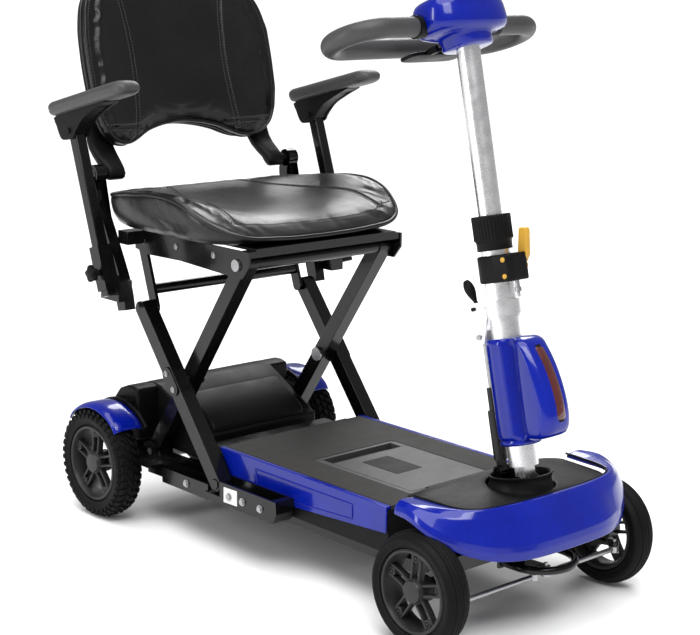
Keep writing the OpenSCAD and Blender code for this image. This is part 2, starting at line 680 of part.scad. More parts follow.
// Silver bracket on the sleeve that carries the latch lever and the strut's upper block
module latch_bracket() color("#c4c5c8") tiller_axes() difference() {
  union() {
    translate([0, 0, latch_s - 14]) cylinder(d = outer_tube_d + 10, h = 22);
    for (x = [-11, 7]) translate([x, 0, 0]) rotate([90, 0, 90]) linear_extrude(4)
      polygon([[24, latch_s - 14], [24, latch_s + 8], [strut_y + 14, latch_s + 6],
        [strut_y + 14, latch_s - 12], [strut_y + 8, strut_high - 10], [strut_y - 8, strut_high - 10]]);
  }
  translate([0, 0, latch_s - 30]) cylinder(d = outer_tube_d + 5 + 2 * fit_gap, h = 60);
  translate([-60, latch_pivot[0], latch_pivot[1]]) rotate([0, 90, 0]) cylinder(r = 3 + fit_gap, h = 120);
  translate([-60, strut_y, strut_high]) rotate([0, 90, 0]) cylinder(r = 4 + fit_gap, h = 120);
}

// Latch lever with its black knob
module latch_lever() color("#19191a") tiller_axes() {
  translate([-14, latch_pivot[0], latch_pivot[1]]) rotate([0, 90, 0]) cylinder(r = 3, h = 28);
  translate([-5, 0, 0]) rotate([90, 0, 90]) linear_extrude(10) {
    translate(latch_pivot) circle(r = 7);
    translate(latch_pivot) rotate(66) translate([0, -3.5]) square([34, 7]);
  }
  translate([0, latch_pivot[0] + 15, latch_pivot[1] + 36]) sphere(r = 8);
}

// Gas strut rod, hung from the bracket's block
module strut_rod() color("#9fa1a4") tiller_axes() {
  translate([-14, strut_y, strut_high]) rotate([0, 90, 0]) cylinder(r = 4, h = 28);
  translate([-6.5, strut_y - 8, strut_high - 10]) cube([13, 16, 18]);
  translate([0, strut_y, 96]) cylinder(r = 4, h = strut_high - 100);
}

// Strut cylinder with a stepped sleeve and the foot pin that sits between the column's lugs
module strut_cylinder() color("#1c1c1d") tiller_axes() difference() {
  translate([0, strut_y, 0]) {
    translate([0, 0, strut_low + 16]) cylinder(r = 10.5, h = 74);
    translate([0, 0, strut_low + 90 - eps]) cylinder(r = 7.5, h = 34);
    translate([-6, 0, strut_low]) rotate([0, 90, 0]) cylinder(r = 7, h = 12);
    translate([-6, -5, strut_low]) cube([12, 10, 17]);
    translate([-11, 0, strut_low]) rotate([0, 90, 0]) cylinder(r = 3, h = 22);
  }
  translate([0, strut_y, strut_low + 22]) cylinder(r = 4 + fit_gap, h = 200);
}

// Ribbed collar at the top of the outer tube
module tiller_collar() color("#232325") tiller_axes() difference() {
  union() {
    translate([0, 0, outer_tube_l + 0.3]) cylinder(d = outer_tube_d + 12, h = 38);
    for (i = [0 : 3]) translate([0, 0, outer_tube_l + 6 + i * 9]) cylinder(d = outer_tube_d + 14, h = 4);
    translate([0, 0, outer_tube_l - 14]) cylinder(d = outer_tube_d + 8, h = 16);
  }
  translate([0, 0, outer_tube_l - 15]) cylinder(d = outer_tube_d + 2 * fit_gap, h = 15.2);
  translate([0, 0, outer_tube_l - 20]) cylinder(d = inner_tube_d + 2 * fit_gap, h = 100);
}

module tiller_inner_tube() color("#c9cbce") tiller_axes() difference() {
  translate([0, 0, inner_low]) cylinder(d = inner_tube_d, h = inner_top - inner_low);
  translate([0, 0, inner_low - 1]) cylinder(d = inner_tube_d - 2 * tube_t, h = inner_top - inner_low + 2);
}

// The head's own axes, at the top of the inner tube
module head_axes() tiller_axes() translate([0, 0, head_s]) rotate([head_tilt, 0, 0]) children();

pod_w = 150;
// Blue head pod that carries the dash
module head_pod() color("#2a31b5") {
  difference() {
    head_axes() {
      translate([0, 4, 2]) linear_extrude(54) round_rect(pod_w, 96, 40);
      translate([0, 2, -18]) linear_extrude(21) round_rect(74, 66, 28);
      translate([-22, 28, -13]) cube([44, 20, 16]);
    }
    head_axes() translate([-60, paddle_pin[0], paddle_pin[1]]) rotate([0, 90, 0])
      cylinder(r = 3 + fit_gap, h = 120);
    head_axes() pair() translate([22, 34, -19]) cube([20, 30, 21]);
    tiller_axes() translate([0, 0, head_s - 60]) cylinder(d = inner_tube_d + 2 * fit_gap, h = 69);
    head_axes() translate([0, 8, 50]) cylinder(r = 4 + fit_gap, h = 30);
  }
}

loop_z = 20;
loop_back = 117;
loop_bend = 50;
loop_side = bar_w / 2 - grip_d / 2 - loop_bend;
// Closed loop handlebar: the rider's branch, a round bend at each side and the front branch into the pod
module handlebar_loop() color("#37383b") head_axes() difference() {
  union() {
    for (s = [-1, 1]) {
      translate([s * loop_side, loop_back - loop_bend, loop_z]) rotate([0, 0, s > 0 ? -90 : 90])
        rotate_extrude(angle = 180) translate([loop_bend, 0]) circle(d = grip_d);
      translate([s * pod_w * 0.4, loop_back - 2 * loop_bend, loop_z]) rotate([0, s * 90, 0])
        cylinder(d = grip_d, h = loop_side - pod_w * 0.4);
    }
    translate([-loop_side, loop_back, loop_z]) rotate([0, 90, 0]) cylinder(d = grip_d, h = 2 * loop_side);
  }
  translate([0, 4, -20]) linear_extrude(90) round_rect(pod_w + 0.4, 96.4, 40);
}

paddle_pin = [42, -7];
// Throttle paddle inside the loop, rocking about a pin through a lug under the pod
module throttle_paddle() color("#0e0e0f") head_axes() {
  translate([-56, 56, -10]) cube([112, 38, 6]);
  for (x = [-30, 24]) translate([x, 0, 0]) rotate([90, 0, 90]) linear_extrude(6)
    polygon([[36, -12], [36, -2], [50, -2], [58, -4], [58, -10], [50, -12]]);
  translate([-26, paddle_pin[0], paddle_pin[1]]) rotate([0, 90, 0]) cylinder(r = 3, h = 52);
}

// Speed dial on the dash
module speed_dial() color("#202022") head_axes() {
  translate([0, 8, 51]) cylinder(r = 4, h = 8);
  difference() {
    translate([0, 8, 56.5]) cylinder(r = 15, h = 12);
    translate([-1, 14, 66]) cube([2, 12, 5]);
  }
}

// ---- Scissor seat lift ----

// Square tube leg with round ends and bored bushings at its pivots
module leg(x0, p, q, pivots) difference() {
  slab(x0, x0 + leg_w) strip(p, q, leg_w);
  slab(x0 + tube_t, x0 + leg_w - tube_t) difference() {
    strip(p, q, leg_w - 2 * tube_t);
    for (c = pivots) translate(sv(c)) circle(r = pin_d / 2 + 3);
  }
  for (c = pivots) rod_x(pin_d / 2 + fit_gap, x0 - 1, x0 + leg_w + 1, c);
}

module scissor_legs_inner() color("#18181a") {
  pair() leg(leg_in_x, foot_b, seat_p, [foot_b, cross_p, seat_p]);
  difference() {
    rod_x(front_tube_d / 2, -leg_in_x, leg_in_x, seat_p);
    rod_x(pin_d / 2 + fit_gap, -leg_in_x - 1, leg_in_x + 1, seat_p);
  }
}

// Outer legs, with a plate over each crossing and a capped foot
module scissor_legs_outer() color("#18181a") pair() {
  leg(leg_out_x, foot_a, top_a, [foot_a, cross_p, top_a]);
  slab(leg_out_x2 - eps, leg_out_x2 + 3) difference() {
    strip(cross_p - 22 * leg_a_dir, cross_p + 22 * leg_a_dir, leg_w - 2);
    translate(sv(cross_p)) circle(r = pin_d);
  }
  rod_x(9, leg_out_x2 - eps, leg_out_x2 + 2, foot_a);
}

// Pins through the crossing and the inner legs' feet, held by the inner legs, and the pins of the outer legs' ends
module scissor_pins() color("#5a5b5d") pair() {
  rod_x(pin_d / 2, leg_in_x - 5, leg_out_x2 + 1, cross_p);
  rod_x(pin_d, leg_in_x - 5, leg_in_x - 0.3, cross_p);
  rod_x(pin_d / 2, clevis_x - plate_t - 0.5, half_deck + side_gap + 3, foot_b);
  rod_x(pin_d / 2, 0.5, seat_plate_x + plate_t, seat_p);
  rod_x(pin_d * 0.8, seat_plate_x + plate_t + 0.3, seat_plate_x + plate_t + 4, seat_p);
}

// Swing links with the rear cross tube between them
module swing_links() color("#18181a") {
  pair() slab(link_x, link_x + 6) difference() {
    strip(link_p, top_a, 20);
    translate(sv(link_p)) circle(r = 5 + fit_gap);
  }
  rod_x(rear_tube_d / 2, -link_x - eps, link_x + eps, link_tube_p);
}

// ---- Seat and back ----

seat_plate_line = [[-276, plate_low + 10], [-276, plate_high], [30, plate_high], [30, 0], [14, plate_low],
  [-14, plate_low], [-150, plate_low + 6], [-240, plate_low + 4]];

module seat_frame() color("#1c1c1e") {
  pair() {
    difference() {
      slab(seat_plate_x, seat_plate_x + plate_t) polygon([for (p = seat_plate_line) sv(seat_p + p)]);
      rod_x(pin_d / 2 + fit_gap, 0, 400, seat_p);
    }
    rod_x(5, link_x - 4, seat_plate_x + eps, link_p);
    // Arms out to the back frame's uprights
    block([seat_plate_x + plate_t - eps, upright_x - soft_gap], span(seat_p[0], -276, -248),
      span(seat_p[1], plate_high - 22, plate_high));
  }
  // Cross members and the pan under the cushion
  for (d = [-262, -140, 6])
    block([-seat_plate_x - eps, seat_plate_x + eps], span(seat_p[0], d, d + 22),
      span(seat_p[1], plate_high - 10, plate_high));
  block([-150, 150], span(seat_p[0], -258, 30), span(seat_p[1], plate_high - eps, plate_high + 4));
}

// Plan outline of the seat, from its front edge at y = 0 to its back edge at y = seat_depth
module seat_plan(w) {
  translate([0, seat_depth / 2]) round_rect(w, seat_depth, 110);
  translate([0, seat_depth * 0.42]) round_rect(w, seat_depth * 0.5, 60);
}

// Side view of the cushion as [behind the front edge, above the base]: low in front, fullest at mid depth
seat_line = [[0, 0], [0, 18], [14, 30], [60, seat_t - 22], [130, seat_t], [230, seat_t], [300, seat_t - 14],
  [seat_depth, seat_t - 22], [seat_depth, 0]];
module seat_cushion() color("#171717") intersection() {
  at(0, [seat_front_d, seat_base_z]) linear_extrude(seat_t + 1) seat_plan(seat_w);
  slab(-seat_w, seat_w) polygon([for (p = seat_line) sv([seat_front_d - p[0], seat_base_z + p[1]])]);
}

upright_line = [[52, seat_p[1] - 105], [40, seat_p[1] - 60], [-2, seat_p[1] + 20], [-34, seat_p[1] + 80], hinge_p];

// Back frame: two curved uprights, the backrest hinge eyes and the armrest sleeves
module back_frame() color("#18181a") pair() {
  difference() {
    slab(upright_x, upright_x + 20) {
      strips(upright_line, 22);
      translate(sv(hinge_p)) circle(r = 15);
    }
    rod_x(6 + fit_gap, upright_x - 1, upright_x + 30, hinge_p);
  }
  sleeve_base = post_low + sleeve_from * post_dir;
  difference() {
    union() {
      slab(post_x - post_w / 2 - 3, post_x + post_w / 2 + 3)
        strip(sleeve_base, sleeve_base + sleeve_l * post_dir, post_w + 6, false);
      // Bracket from the upright out to the sleeve, and the knob's boss
      slab(upright_x + 20 - eps, post_x - post_w / 2 - 3 + eps) strip([30, seat_p[1] - 66], [82, seat_p[1] - 66], 34, false);
      rod_x(8, post_x + post_w / 2, post_x + post_w / 2 + 8, sleeve_base + 30 * post_dir);
    }
    slab(post_x - post_w / 2 - fit_gap, post_x + post_w / 2 + fit_gap)
      strip(sleeve_base - 40 * post_dir, sleeve_base + (sleeve_l + 40) * post_dir, post_w + 2 * fit_gap, false);
  }
  // Star knob
  rod_x(4, post_x + post_w / 2 + 8 - eps, post_x + post_w / 2 + 16, sleeve_base + 30 * post_dir);
  at(post_x + post_w / 2 + 15, sleeve_base + 30 * post_dir) rotate([0, 90, 0]) linear_extrude(12)
    for (i = [0 : 5]) rotate(60 * i) translate([8, 0]) circle(r = 6);
  at(post_x + post_w / 2 + 15, sleeve_base + 30 * post_dir) rotate([0, 90, 0]) cylinder(r = 10, h = 12);
}

// ---- Backrest ----

// The backrest's own axes: origin on the hinge line, Y to the back, Z up the back
module back_axes() at(0, hinge_p) rotate([-back_lean, 0, 0]) children();

// Front outline of the backrest: rounded, with an arch cut in its lower edge
module back_outline(t) difference() {
  translate([0, back_low + back_h / 2]) round_rect(back_w - 2 * t, back_h - 2 * t, 92);
  translate([0, back_low + arch_rise - arch_r]) circle(r = arch_r + t, $fn = 128);
}

// Curved sheet between two distances behind its front face, concave towards the rider
module back_sheet(y0, y1) translate([0, back_sag - back_curve_r, 0]) difference() {
  cylinder(r = back_curve_r + y1, h = 800, $fn = 128);
  translate([0, 0, -1]) cylinder(r = back_curve_r + y0, h = 802, $fn = 128);
}

module back_layer(y0, y1, t) intersection() {
  translate([0, 200, 0]) rotate([90, 0, 0]) linear_extrude(400) back_outline(t);
  back_sheet(y0, y1);
}

module backrest_cushion() color("#161616") back_axes()
  back_layer(-cushion_half, cushion_half, 0);

// Shell with a hinge arm on each side
module backrest_shell() color("#1b1b1c") back_axes() {
  back_layer(shell_y[0], shell_y[1], 10);
  pair() {
    translate([upright_x - 14, 0, 0]) rotate([0, 90, 0]) cylinder(r = 13, h = 8);
    translate([upright_x - 14, 0, 0]) rotate([90, 0, 90]) linear_extrude(8)
      polygon([[-9, -2], [11, -2], [34, 50], [34, 114], [cushion_half + 3, 114], [cushion_half + 3, 58], [-9, 16]]);
    translate([upright_x - 42, 0, 0]) rotate([90, 0, 90]) linear_extrude(28 + eps)
      polygon([[-9, -2], [11, -2], [40, 52], [40, 108], [31.5, 108], [31.5, 50], [-9, 16]]);
    translate([upright_x - 14, 0, 0]) rotate([0, 90, 0]) cylinder(r = 6, h = 38);
  }
}

// ---- Armrests ----

module armrest_posts() color("#1b1b1c") pair() difference() {
  slab(post_x - post_w / 2, post_x + post_w / 2) difference() {
    strip(post_low, post_top, post_w, false);
    strip(post_low - 5 * post_dir, post_top - 24 * post_dir, post_w - 2 * tube_t, false);
  }
  rod_x(4 + fit_gap, 0, 400, post_top - 10 * post_dir);
}

arm_pivot = post_top - 10 * post_dir;

// The armrest's own axes: origin on the flip pivot, tilted up at the front
module arm_axes(s) on_side(s) at(post_x, arm_pivot) rotate([-arm_tilt, 0, 0]) children();

// Wedge bracket that straddles the post
module armrest(s) color("#202022") arm_axes(s) {
  difference() {
    union() {
      for (x = [-post_w / 2 - 4.5, post_w / 2 + 1.5]) translate([x, 0, 0]) rotate([90, 0, 90]) linear_extrude(3)
        polygon([[30, arm_rise - 17], [26, -10], [-12, -10], [-96, arm_rise - 17]]);
      translate([-post_w / 2 - 4.5, -96, arm_rise - 17 - eps]) cube([post_w + 9, 126, 3]);
    }
    translate([-60, 0, 0]) rotate([0, 90, 0]) cylinder(r = 4 + fit_gap, h = 120);
  }
  translate([-post_w / 2 - 8, 0, 0]) rotate([0, 90, 0]) cylinder(r = 4, h = post_w + 16);
}

module arm_pad(s) color("#2a2a2c") arm_axes(s)
  translate([0, arm_back - arm_pad_l / 2, arm_rise]) rotate([90, 0, 0]) translate([0, 0, -arm_pad_l / 2])
    linear_extrude(arm_pad_l) round_rect(arm_pad_w, arm_pad_t, 12);

rear_frame();
side_rails();
deck_tray();
deck_panels();
deck_mat();
front_frame();
front_fender();
front_cover();
front_bumper();
motor_cover();
rear_fenders();
drive_motor();
transaxle();
controller();
frame_bolts();
battery_case();
battery_cells();
rear_tyre(-1);  // rear_tyre_right
rear_tyre(1);  // rear_tyre_left
rear_rim(-1);  // rear_rim_right
rear_rim(1);  // rear_rim_left
front_tyre(-1);  // front_tyre_right
front_tyre(1);  // front_tyre_left
front_rim(-1);  // front_rim_right
front_rim(1);  // front_rim_left
knuckle(-1);  // knuckle_right
knuckle(1);  // knuckle_left
tie_rod(-1);  // tie_rod_right
tie_rod(1);  // tie_rod_left
steering_column();
tiller_boot();
tiller_outer_tube();
tiller_shroud();
tiller_lens();
tiller_clamp();
clamp_lever();
latch_bracket();
latch_lever();
strut_rod();
strut_cylinder();
tiller_collar();
tiller_inner_tube();
head_pod();
handlebar_loop();
throttle_paddle();
speed_dial();
scissor_legs_inner();
scissor_legs_outer();
scissor_pins();
swing_links();
seat_frame();
seat_cushion();
back_frame();
backrest_shell();
backrest_cushion();
armrest_posts();
armrest(-1);  // armrest_right
armrest(1);  // armrest_left
arm_pad(-1);  // arm_pad_right
arm_pad(1);  // arm_pad_left
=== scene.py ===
# %% [markdown]
# # A folding mobility scooter, dressed in Blender
# The CAD model gives every part its place and its motion. This lesson builds the visible surfaces over it:
# tyres, rims, painted covers, leather pads and the small fittings, each as a numpy surface or a short profile.

# %% Load the fixed frame
import bpy, json, math
import numpy as np
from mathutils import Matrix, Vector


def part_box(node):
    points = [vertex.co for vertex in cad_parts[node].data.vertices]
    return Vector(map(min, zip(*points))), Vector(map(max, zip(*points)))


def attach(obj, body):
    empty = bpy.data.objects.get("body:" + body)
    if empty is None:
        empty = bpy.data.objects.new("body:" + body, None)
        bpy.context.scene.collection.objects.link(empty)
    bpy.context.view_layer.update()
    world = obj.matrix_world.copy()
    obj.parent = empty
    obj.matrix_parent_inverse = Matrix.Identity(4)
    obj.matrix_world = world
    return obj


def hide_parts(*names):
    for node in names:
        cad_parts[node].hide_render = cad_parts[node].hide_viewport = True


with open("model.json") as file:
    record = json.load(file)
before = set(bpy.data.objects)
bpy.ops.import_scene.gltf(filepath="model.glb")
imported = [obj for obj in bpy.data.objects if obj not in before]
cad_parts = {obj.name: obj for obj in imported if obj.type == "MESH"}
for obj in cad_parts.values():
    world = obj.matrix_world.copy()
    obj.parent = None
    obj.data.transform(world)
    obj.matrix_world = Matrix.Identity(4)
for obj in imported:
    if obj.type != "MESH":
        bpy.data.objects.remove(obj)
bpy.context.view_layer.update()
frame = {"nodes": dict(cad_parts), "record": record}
PI = math.pi
rear_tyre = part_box("rear_tyre_left")
# The datum along the length lies 14 mm ahead of the rear axle: d is the distance forward of it
DATUM_Y = (rear_tyre[0][1] + rear_tyre[1][1]) / 2 - 0.014


def spot(x, d, z):
    """Millimetres across, forward of the datum and up, as metres in the frame."""
    return np.array([x / 1000, DATUM_Y - d / 1000, z / 1000])


# %% [markdown]
# ## Surfaces from arrays
# A mesh is a grid of points and the quads between them. One helper turns an array of shape (rows, columns, 3)
# into points and faces, and another joins several such pieces and makes the object. Winding is settled by
# measuring the signed volume, so faces point outwards.

# %% Grid and mesh helpers
SHARP = math.radians(38)


def grid(P, close_rows=False, close_cols=False):
    """Quads between the points of P[row, column]: point (i, j) joins (i + 1, j) and (i, j + 1)."""
    n, m = P.shape[:2]
    i, j = np.meshgrid(np.arange(n if close_rows else n - 1), np.arange(m if close_cols else m - 1), indexing="ij")
    i2, j2 = (i + 1) % n, (j + 1) % m
    F = np.stack([i * m + j, i2 * m + j, i2 * m + j2, i * m + j2], -1).reshape(-1, 4)
    return P.reshape(-1, 3), F


def merge(parts):
    """Several (points, quads) pairs as one: each piece's indices move up by the points before it."""
    starts = np.cumsum([0] + [len(V) for V, _ in parts])[:-1]
    return np.concatenate([V for V, _ in parts]), np.concatenate([F + s for (_, F), s in zip(parts, starts)])


def outward(V, F):
    """Turns the faces round where the signed volume, the sum of corner triple products / 6, is negative."""
    a, b, c, d = (V[F[:, k]] for k in range(4))
    volume = np.einsum("ij,ij->", a, np.cross(b, c)) + np.einsum("ij,ij->", a, np.cross(c, d))
    return F if volume > 0 else F[:, ::-1]


def make(name, parts, material, body, slot, replaces=(), bevel=0, subdivide=0, solid=0, sharp=SHARP):
    """Makes the object from (points, quads) pieces, each turned outwards unless solid gives a wall, and hangs it on its
    body.
    """
    V, F = merge([(V, outward(V, F)) for V, F in parts]) if not solid else merge(parts)
    mesh = bpy.data.meshes.new(name)
    mesh.from_pydata(V.tolist(), [], F.tolist())
    obj = bpy.data.objects.new(name, mesh)
    bpy.context.scene.collection.objects.link(obj)
    mesh.materials.append(material)
    tidy_mesh(mesh, recalc=False)
    if solid:
        wall = obj.modifiers.new("wall", "SOLIDIFY")
        wall.thickness, wall.offset, wall.use_even_offset = solid, -1, True
    if bevel:
        edge = obj.modifiers.new("edge", "BEVEL")
        edge.width, edge.segments, edge.limit_method, edge.angle_limit = bevel, 3, "ANGLE", math.radians(35)
        edge.harden_normals = False
    if subdivide:
        smooth = obj.modifiers.new("smooth", "SUBSURF")
        smooth.levels = smooth.render_levels = subdivide
    mesh.shade_smooth()
    if sharp:
        mesh.set_sharp_from_angle(angle=sharp)
    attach(obj, body)
    if replaces:
        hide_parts(*replaces)
    return obj


def tidy_mesh(mesh, recalc=False):
    """Merges points closer than 1/100 mm and drops faces with no area."""
    import bmesh
    bm = bmesh.new()
    bm.from_mesh(mesh)
    bmesh.ops.remove_doubles(bm, verts=bm.verts, dist=1e-5)
    bmesh.ops.dissolve_degenerate(bm, edges=bm.edges, dist=1e-6)
    if recalc:
        bmesh.ops.recalc_face_normals(bm, faces=bm.faces)
    bm.to_mesh(mesh)
    bm.free()


# %% [markdown]
# ## Curves
# Smooth outlines come from a few measured points. A Catmull-Rom curve passes through each of them, and a section
# carried along such a curve makes tubes, welts and bands.

# %% Curve helpers
def smooth_line(points, n, closed=False):
    """Catmull-Rom: p = ((2 p1) + (p2 - p0) t + (2 p0 - 5 p1 + 4 p2 - p3) t^2 + (3 p1 - p0 - 3 p2 + p3) t^3) / 2,
    then spaced evenly by length."""
    p = np.asarray(points, float)
    k = len(p)
    seg = k if closed else k - 1
    s = np.linspace(0, seg, 24 * seg + 1)
    i = np.minimum(s.astype(int), seg - 1)
    t = (s - i)[:, None]
    pick = (lambda q: p[q % k]) if closed else (lambda q: p[np.clip(q, 0, k - 1)])
    p0, p1, p2, p3 = pick(i - 1), pick(i), pick(i + 1), pick(i + 2)
    q = (2 * p1 + (p2 - p0) * t + (2 * p0 - 5 * p1 + 4 * p2 - p3) * t**2 + (3 * p1 - p0 - 3 * p2 + p3) * t**3) / 2
    return even(q, n, closed)


def even(q, n, closed=False):
    """n points at equal steps of arc length along the polyline q; a closed line leaves out its repeated end."""
    L = np.concatenate([[0], np.cumsum(np.linalg.norm(np.diff(q, axis=0), axis=1))])
    s = np.linspace(0, L[-1], n + 1)[:-1] if closed else np.linspace(0, L[-1], n)
    return np.stack([np.interp(s, L, q[:, k]) for k in range(q.shape[1])], 1)


def unit(v):
    return v / np.maximum(np.linalg.norm(v, axis=-1, keepdims=True), 1e-12)


def sweep(path, section, up=(0, 0, 1), closed=False, ends=True, scale=None):
    """Section point (a, b) goes to path + a * side + b * rise, where side = tangent x up and rise = side x tangent.
    Open ends shrink to a point, so the tube is closed."""
    T = unit(np.roll(path, -1, 0) - np.roll(path, 1, 0) if closed else np.gradient(path, axis=0))
    side = unit(np.cross(T, np.asarray(up, float)))
    rise = np.cross(side, T)
    k = np.ones(len(path)) if scale is None else np.asarray(scale)
    across = section[None, :, :1] * side[:, None] + section[None, :, 1:] * rise[:, None]
    P = path[:, None] + k[:, None, None] * across
    if not closed and ends:
        P = np.concatenate([np.repeat(path[:1, None], P.shape[1], 1), P, np.repeat(path[-1:, None], P.shape[1], 1)])
    return grid(P, close_rows=closed, close_cols=True)


def oval(a, b, n, power=2.0):
    """Superellipse: x = a sgn(cos) |cos|^(2/p), y = b sgn(sin) |sin|^(2/p)."""
    t = np.linspace(0, 2 * PI, n, endpoint=False)
    c, s = np.cos(t), np.sin(t)
    return np.stack([a * np.sign(c) * np.abs(c) ** (2 / power), b * np.sign(s) * np.abs(s) ** (2 / power)], 1)


def round_box(w, h, r, n=6):
    """Rectangle w by h with corner arcs of radius r, n points to a corner."""
    t = np.linspace(0, PI / 2, n)
    arc = np.stack([r * np.cos(t), r * np.sin(t)], 1)
    out = []
    for k, (sx, sy) in enumerate([(1, 1), (-1, 1), (-1, -1), (1, -1)]):
        c, s = math.cos(k * PI / 2), math.sin(k * PI / 2)
        out.append(arc @ np.array([[c, s], [-s, c]]) + [sx * (w / 2 - r), sy * (h / 2 - r)])
    return np.concatenate(out)


def prism(outline, a, b):
    """A flat outline of 3-D points at a, carried by the vector b - a, with both ends fanned to their middles."""
    P0 = outline + a
    P1 = outline + b
    c0, c1 = P0.mean(0), P1.mean(0)
    P = np.stack([np.repeat(c0[None], len(P0), 0), P0, P1, np.repeat(c1[None], len(P0), 0)])
    return grid(P, close_cols=True)


def side_prism(points, x0, x1):
    """Side-view outline of (d, z) points in mm, carried across from x0 to x1."""
    q = np.array([spot(0, d, z) for d, z in points])
    return prism(q, np.array([x0 / 1000, 0, 0]), np.array([x1 / 1000, 0, 0]))


def lathe(profile, centre, axis="x", n=96, turn=1):
    """Closed outline of (radius, along) in mm, turned about an axis through centre: (r cos t, r sin t) across it."""
    t = np.linspace(0, 2 * PI, n, endpoint=False)
    pr = np.asarray(profile, float) / 1000
    r, h = pr[None, :, 0], pr[None, :, 1] * turn
    c, s = np.cos(t)[:, None], np.sin(t)[:, None]
    flat = np.broadcast_to(h, (n, pr.shape[0]))
    P = np.stack([flat, r * c, r * s], -1) if axis == "x" else np.stack([r * c, r * s, flat], -1)
    return grid(P + centre, close_rows=True, close_cols=True)


def mirror(part):
    V, F = part
    return V * [-1, 1, 1], F[:, ::-1]


# %% [markdown]
# ## Effects shared by the finishes
# Real paint, rubber and leather are never one flat colour. Three small node groups give the variation: `tone`
# wanders between two colours, `grain` gives a pebbled height, and `ribs` gives fine parallel ridges. Each reads
# Object coordinates, so a pattern is fixed to its piece.

# %% Node groups
def new_group(name, inputs, outputs):
    """An empty shader group with float or colour inputs and outputs, and its two end nodes."""
    tree = bpy.data.node_groups.new(name, "ShaderNodeTree")
    for label, value in inputs.items():
        kind = "NodeSocketColor" if isinstance(value, tuple) else "NodeSocketFloat"
        tree.interface.new_socket(label, in_out="INPUT", socket_type=kind).default_value = value
    for label, kind in outputs.items():
        tree.interface.new_socket(label, in_out="OUTPUT", socket_type=kind)
    return tree, tree.nodes.new("NodeGroupInput"), tree.nodes.new("NodeGroupOutput")


def add(tree, kind, links=(), **settings):
    """A node with its settings, and (output socket, input name or number) links into it."""
    node = tree.nodes.new(kind)
    for key, value in settings.items():
        setattr(node, key, value)
    for source, where in links:
        tree.links.new(source, node.inputs[where])
    return node


def math_node(tree, operation, a, b):
    """One Math node: a and b are sockets or numbers."""
    node = tree.nodes.new("ShaderNodeMath")
    node.operation = operation
    for k, v in enumerate((a, b)):
        if isinstance(v, (int, float)):
            node.inputs[k].default_value = v
        else:
            tree.links.new(v, node.inputs[k])
    return node.outputs[0]


def tone_group():
    """Colour = first + share x mask x (second - first); mask = coarse noise x 0.6 + fine noise x 0.4, stretched."""
    tree, start, end = new_group("tone", {"Colour": (0.5, 0.5, 0.5, 1), "Second": (0.6, 0.6, 0.6, 1), "Size": 20.0,
                                          "Share": 0.5}, {"Colour": "NodeSocketColor", "Mask": "NodeSocketFloat"})
    place = add(tree, "ShaderNodeTexCoord").outputs["Object"]
    coarse = add(tree, "ShaderNodeTexNoise", [(place, "Vector"), (start.outputs["Size"], "Scale")])
    fine_size = math_node(tree, "MULTIPLY", start.outputs["Size"], 9.0)
    fine = add(tree, "ShaderNodeTexNoise", [(place, "Vector"), (fine_size, "Scale")])
    both = math_node(tree, "ADD", math_node(tree, "MULTIPLY", coarse.outputs[0], 0.6),
                     math_node(tree, "MULTIPLY", fine.outputs[0], 0.4))
    ramp = add(tree, "ShaderNodeMapRange", [(both, 0)], clamp=True)
    ramp.inputs[1].default_value, ramp.inputs[2].default_value = 0.36, 0.64
    factor = math_node(tree, "MULTIPLY", ramp.outputs[0], start.outputs["Share"])
    mix = add(tree, "ShaderNodeMix", [(factor, 0)], data_type="RGBA")
    tree.links.new(start.outputs["Colour"], mix.inputs[6])
    tree.links.new(start.outputs["Second"], mix.inputs[7])
    tree.links.new(mix.outputs[2], end.inputs["Colour"])
    tree.links.new(ramp.outputs[0], end.inputs["Mask"])
    return tree


def grain_group():
    """Height = distance to the nearest of many scattered points, with their places pushed about by a noise."""
    tree, start, end = new_group("grain", {"Size": 700.0, "Push": 0.001}, {"Height": "NodeSocketFloat"})
    place = add(tree, "ShaderNodeTexCoord").outputs["Object"]
    noise = add(tree, "ShaderNodeTexNoise", [(place, "Vector"), (start.outputs["Size"], "Scale")])
    push = add(tree, "ShaderNodeVectorMath", [(noise.outputs["Color"], 0)], operation="SCALE")
    tree.links.new(start.outputs["Push"], push.inputs["Scale"])
    moved = add(tree, "ShaderNodeVectorMath", [(place, 0), (push.outputs[0], 1)], operation="ADD")
    cells = add(tree, "ShaderNodeTexVoronoi", [(moved.outputs[0], "Vector"), (start.outputs["Size"], "Scale")])
    tree.links.new(cells.outputs["Distance"], end.inputs["Height"])
    return tree


def ribs_group():
    """Height = sin(2 pi y / pitch) along the length, softened by a cross rib of half the height."""
    tree, start, end = new_group("ribs", {"Pitch": 0.004, "Cross": 0.0}, {"Height": "NodeSocketFloat"})
    place = add(tree, "ShaderNodeSeparateXYZ", [(add(tree, "ShaderNodeTexCoord").outputs["Object"], 0)])
    turn = math_node(tree, "DIVIDE", 2 * PI, start.outputs["Pitch"])
    along = math_node(tree, "SINE", math_node(tree, "MULTIPLY", place.outputs[0], turn), 0)
    across = math_node(tree, "SINE", math_node(tree, "MULTIPLY", place.outputs[1], turn), 0)
    tree.links.new(math_node(tree, "ADD", along, math_node(tree, "MULTIPLY", across, start.outputs["Cross"])),
                   end.inputs["Height"])
    return tree


tone, grain, ribs = tone_group(), grain_group(), ribs_group()
print("groups", [g.name for g in bpy.data.node_groups])

# %% [markdown]
# ## Finishes
# A finish is a Principled shader fed by the groups. Constant values sit on the shader's own sockets, and only
# colour, roughness and normal vary over the surface.

# %% One finish from its numbers
def colour4(c):
    return (*c, 1.0)


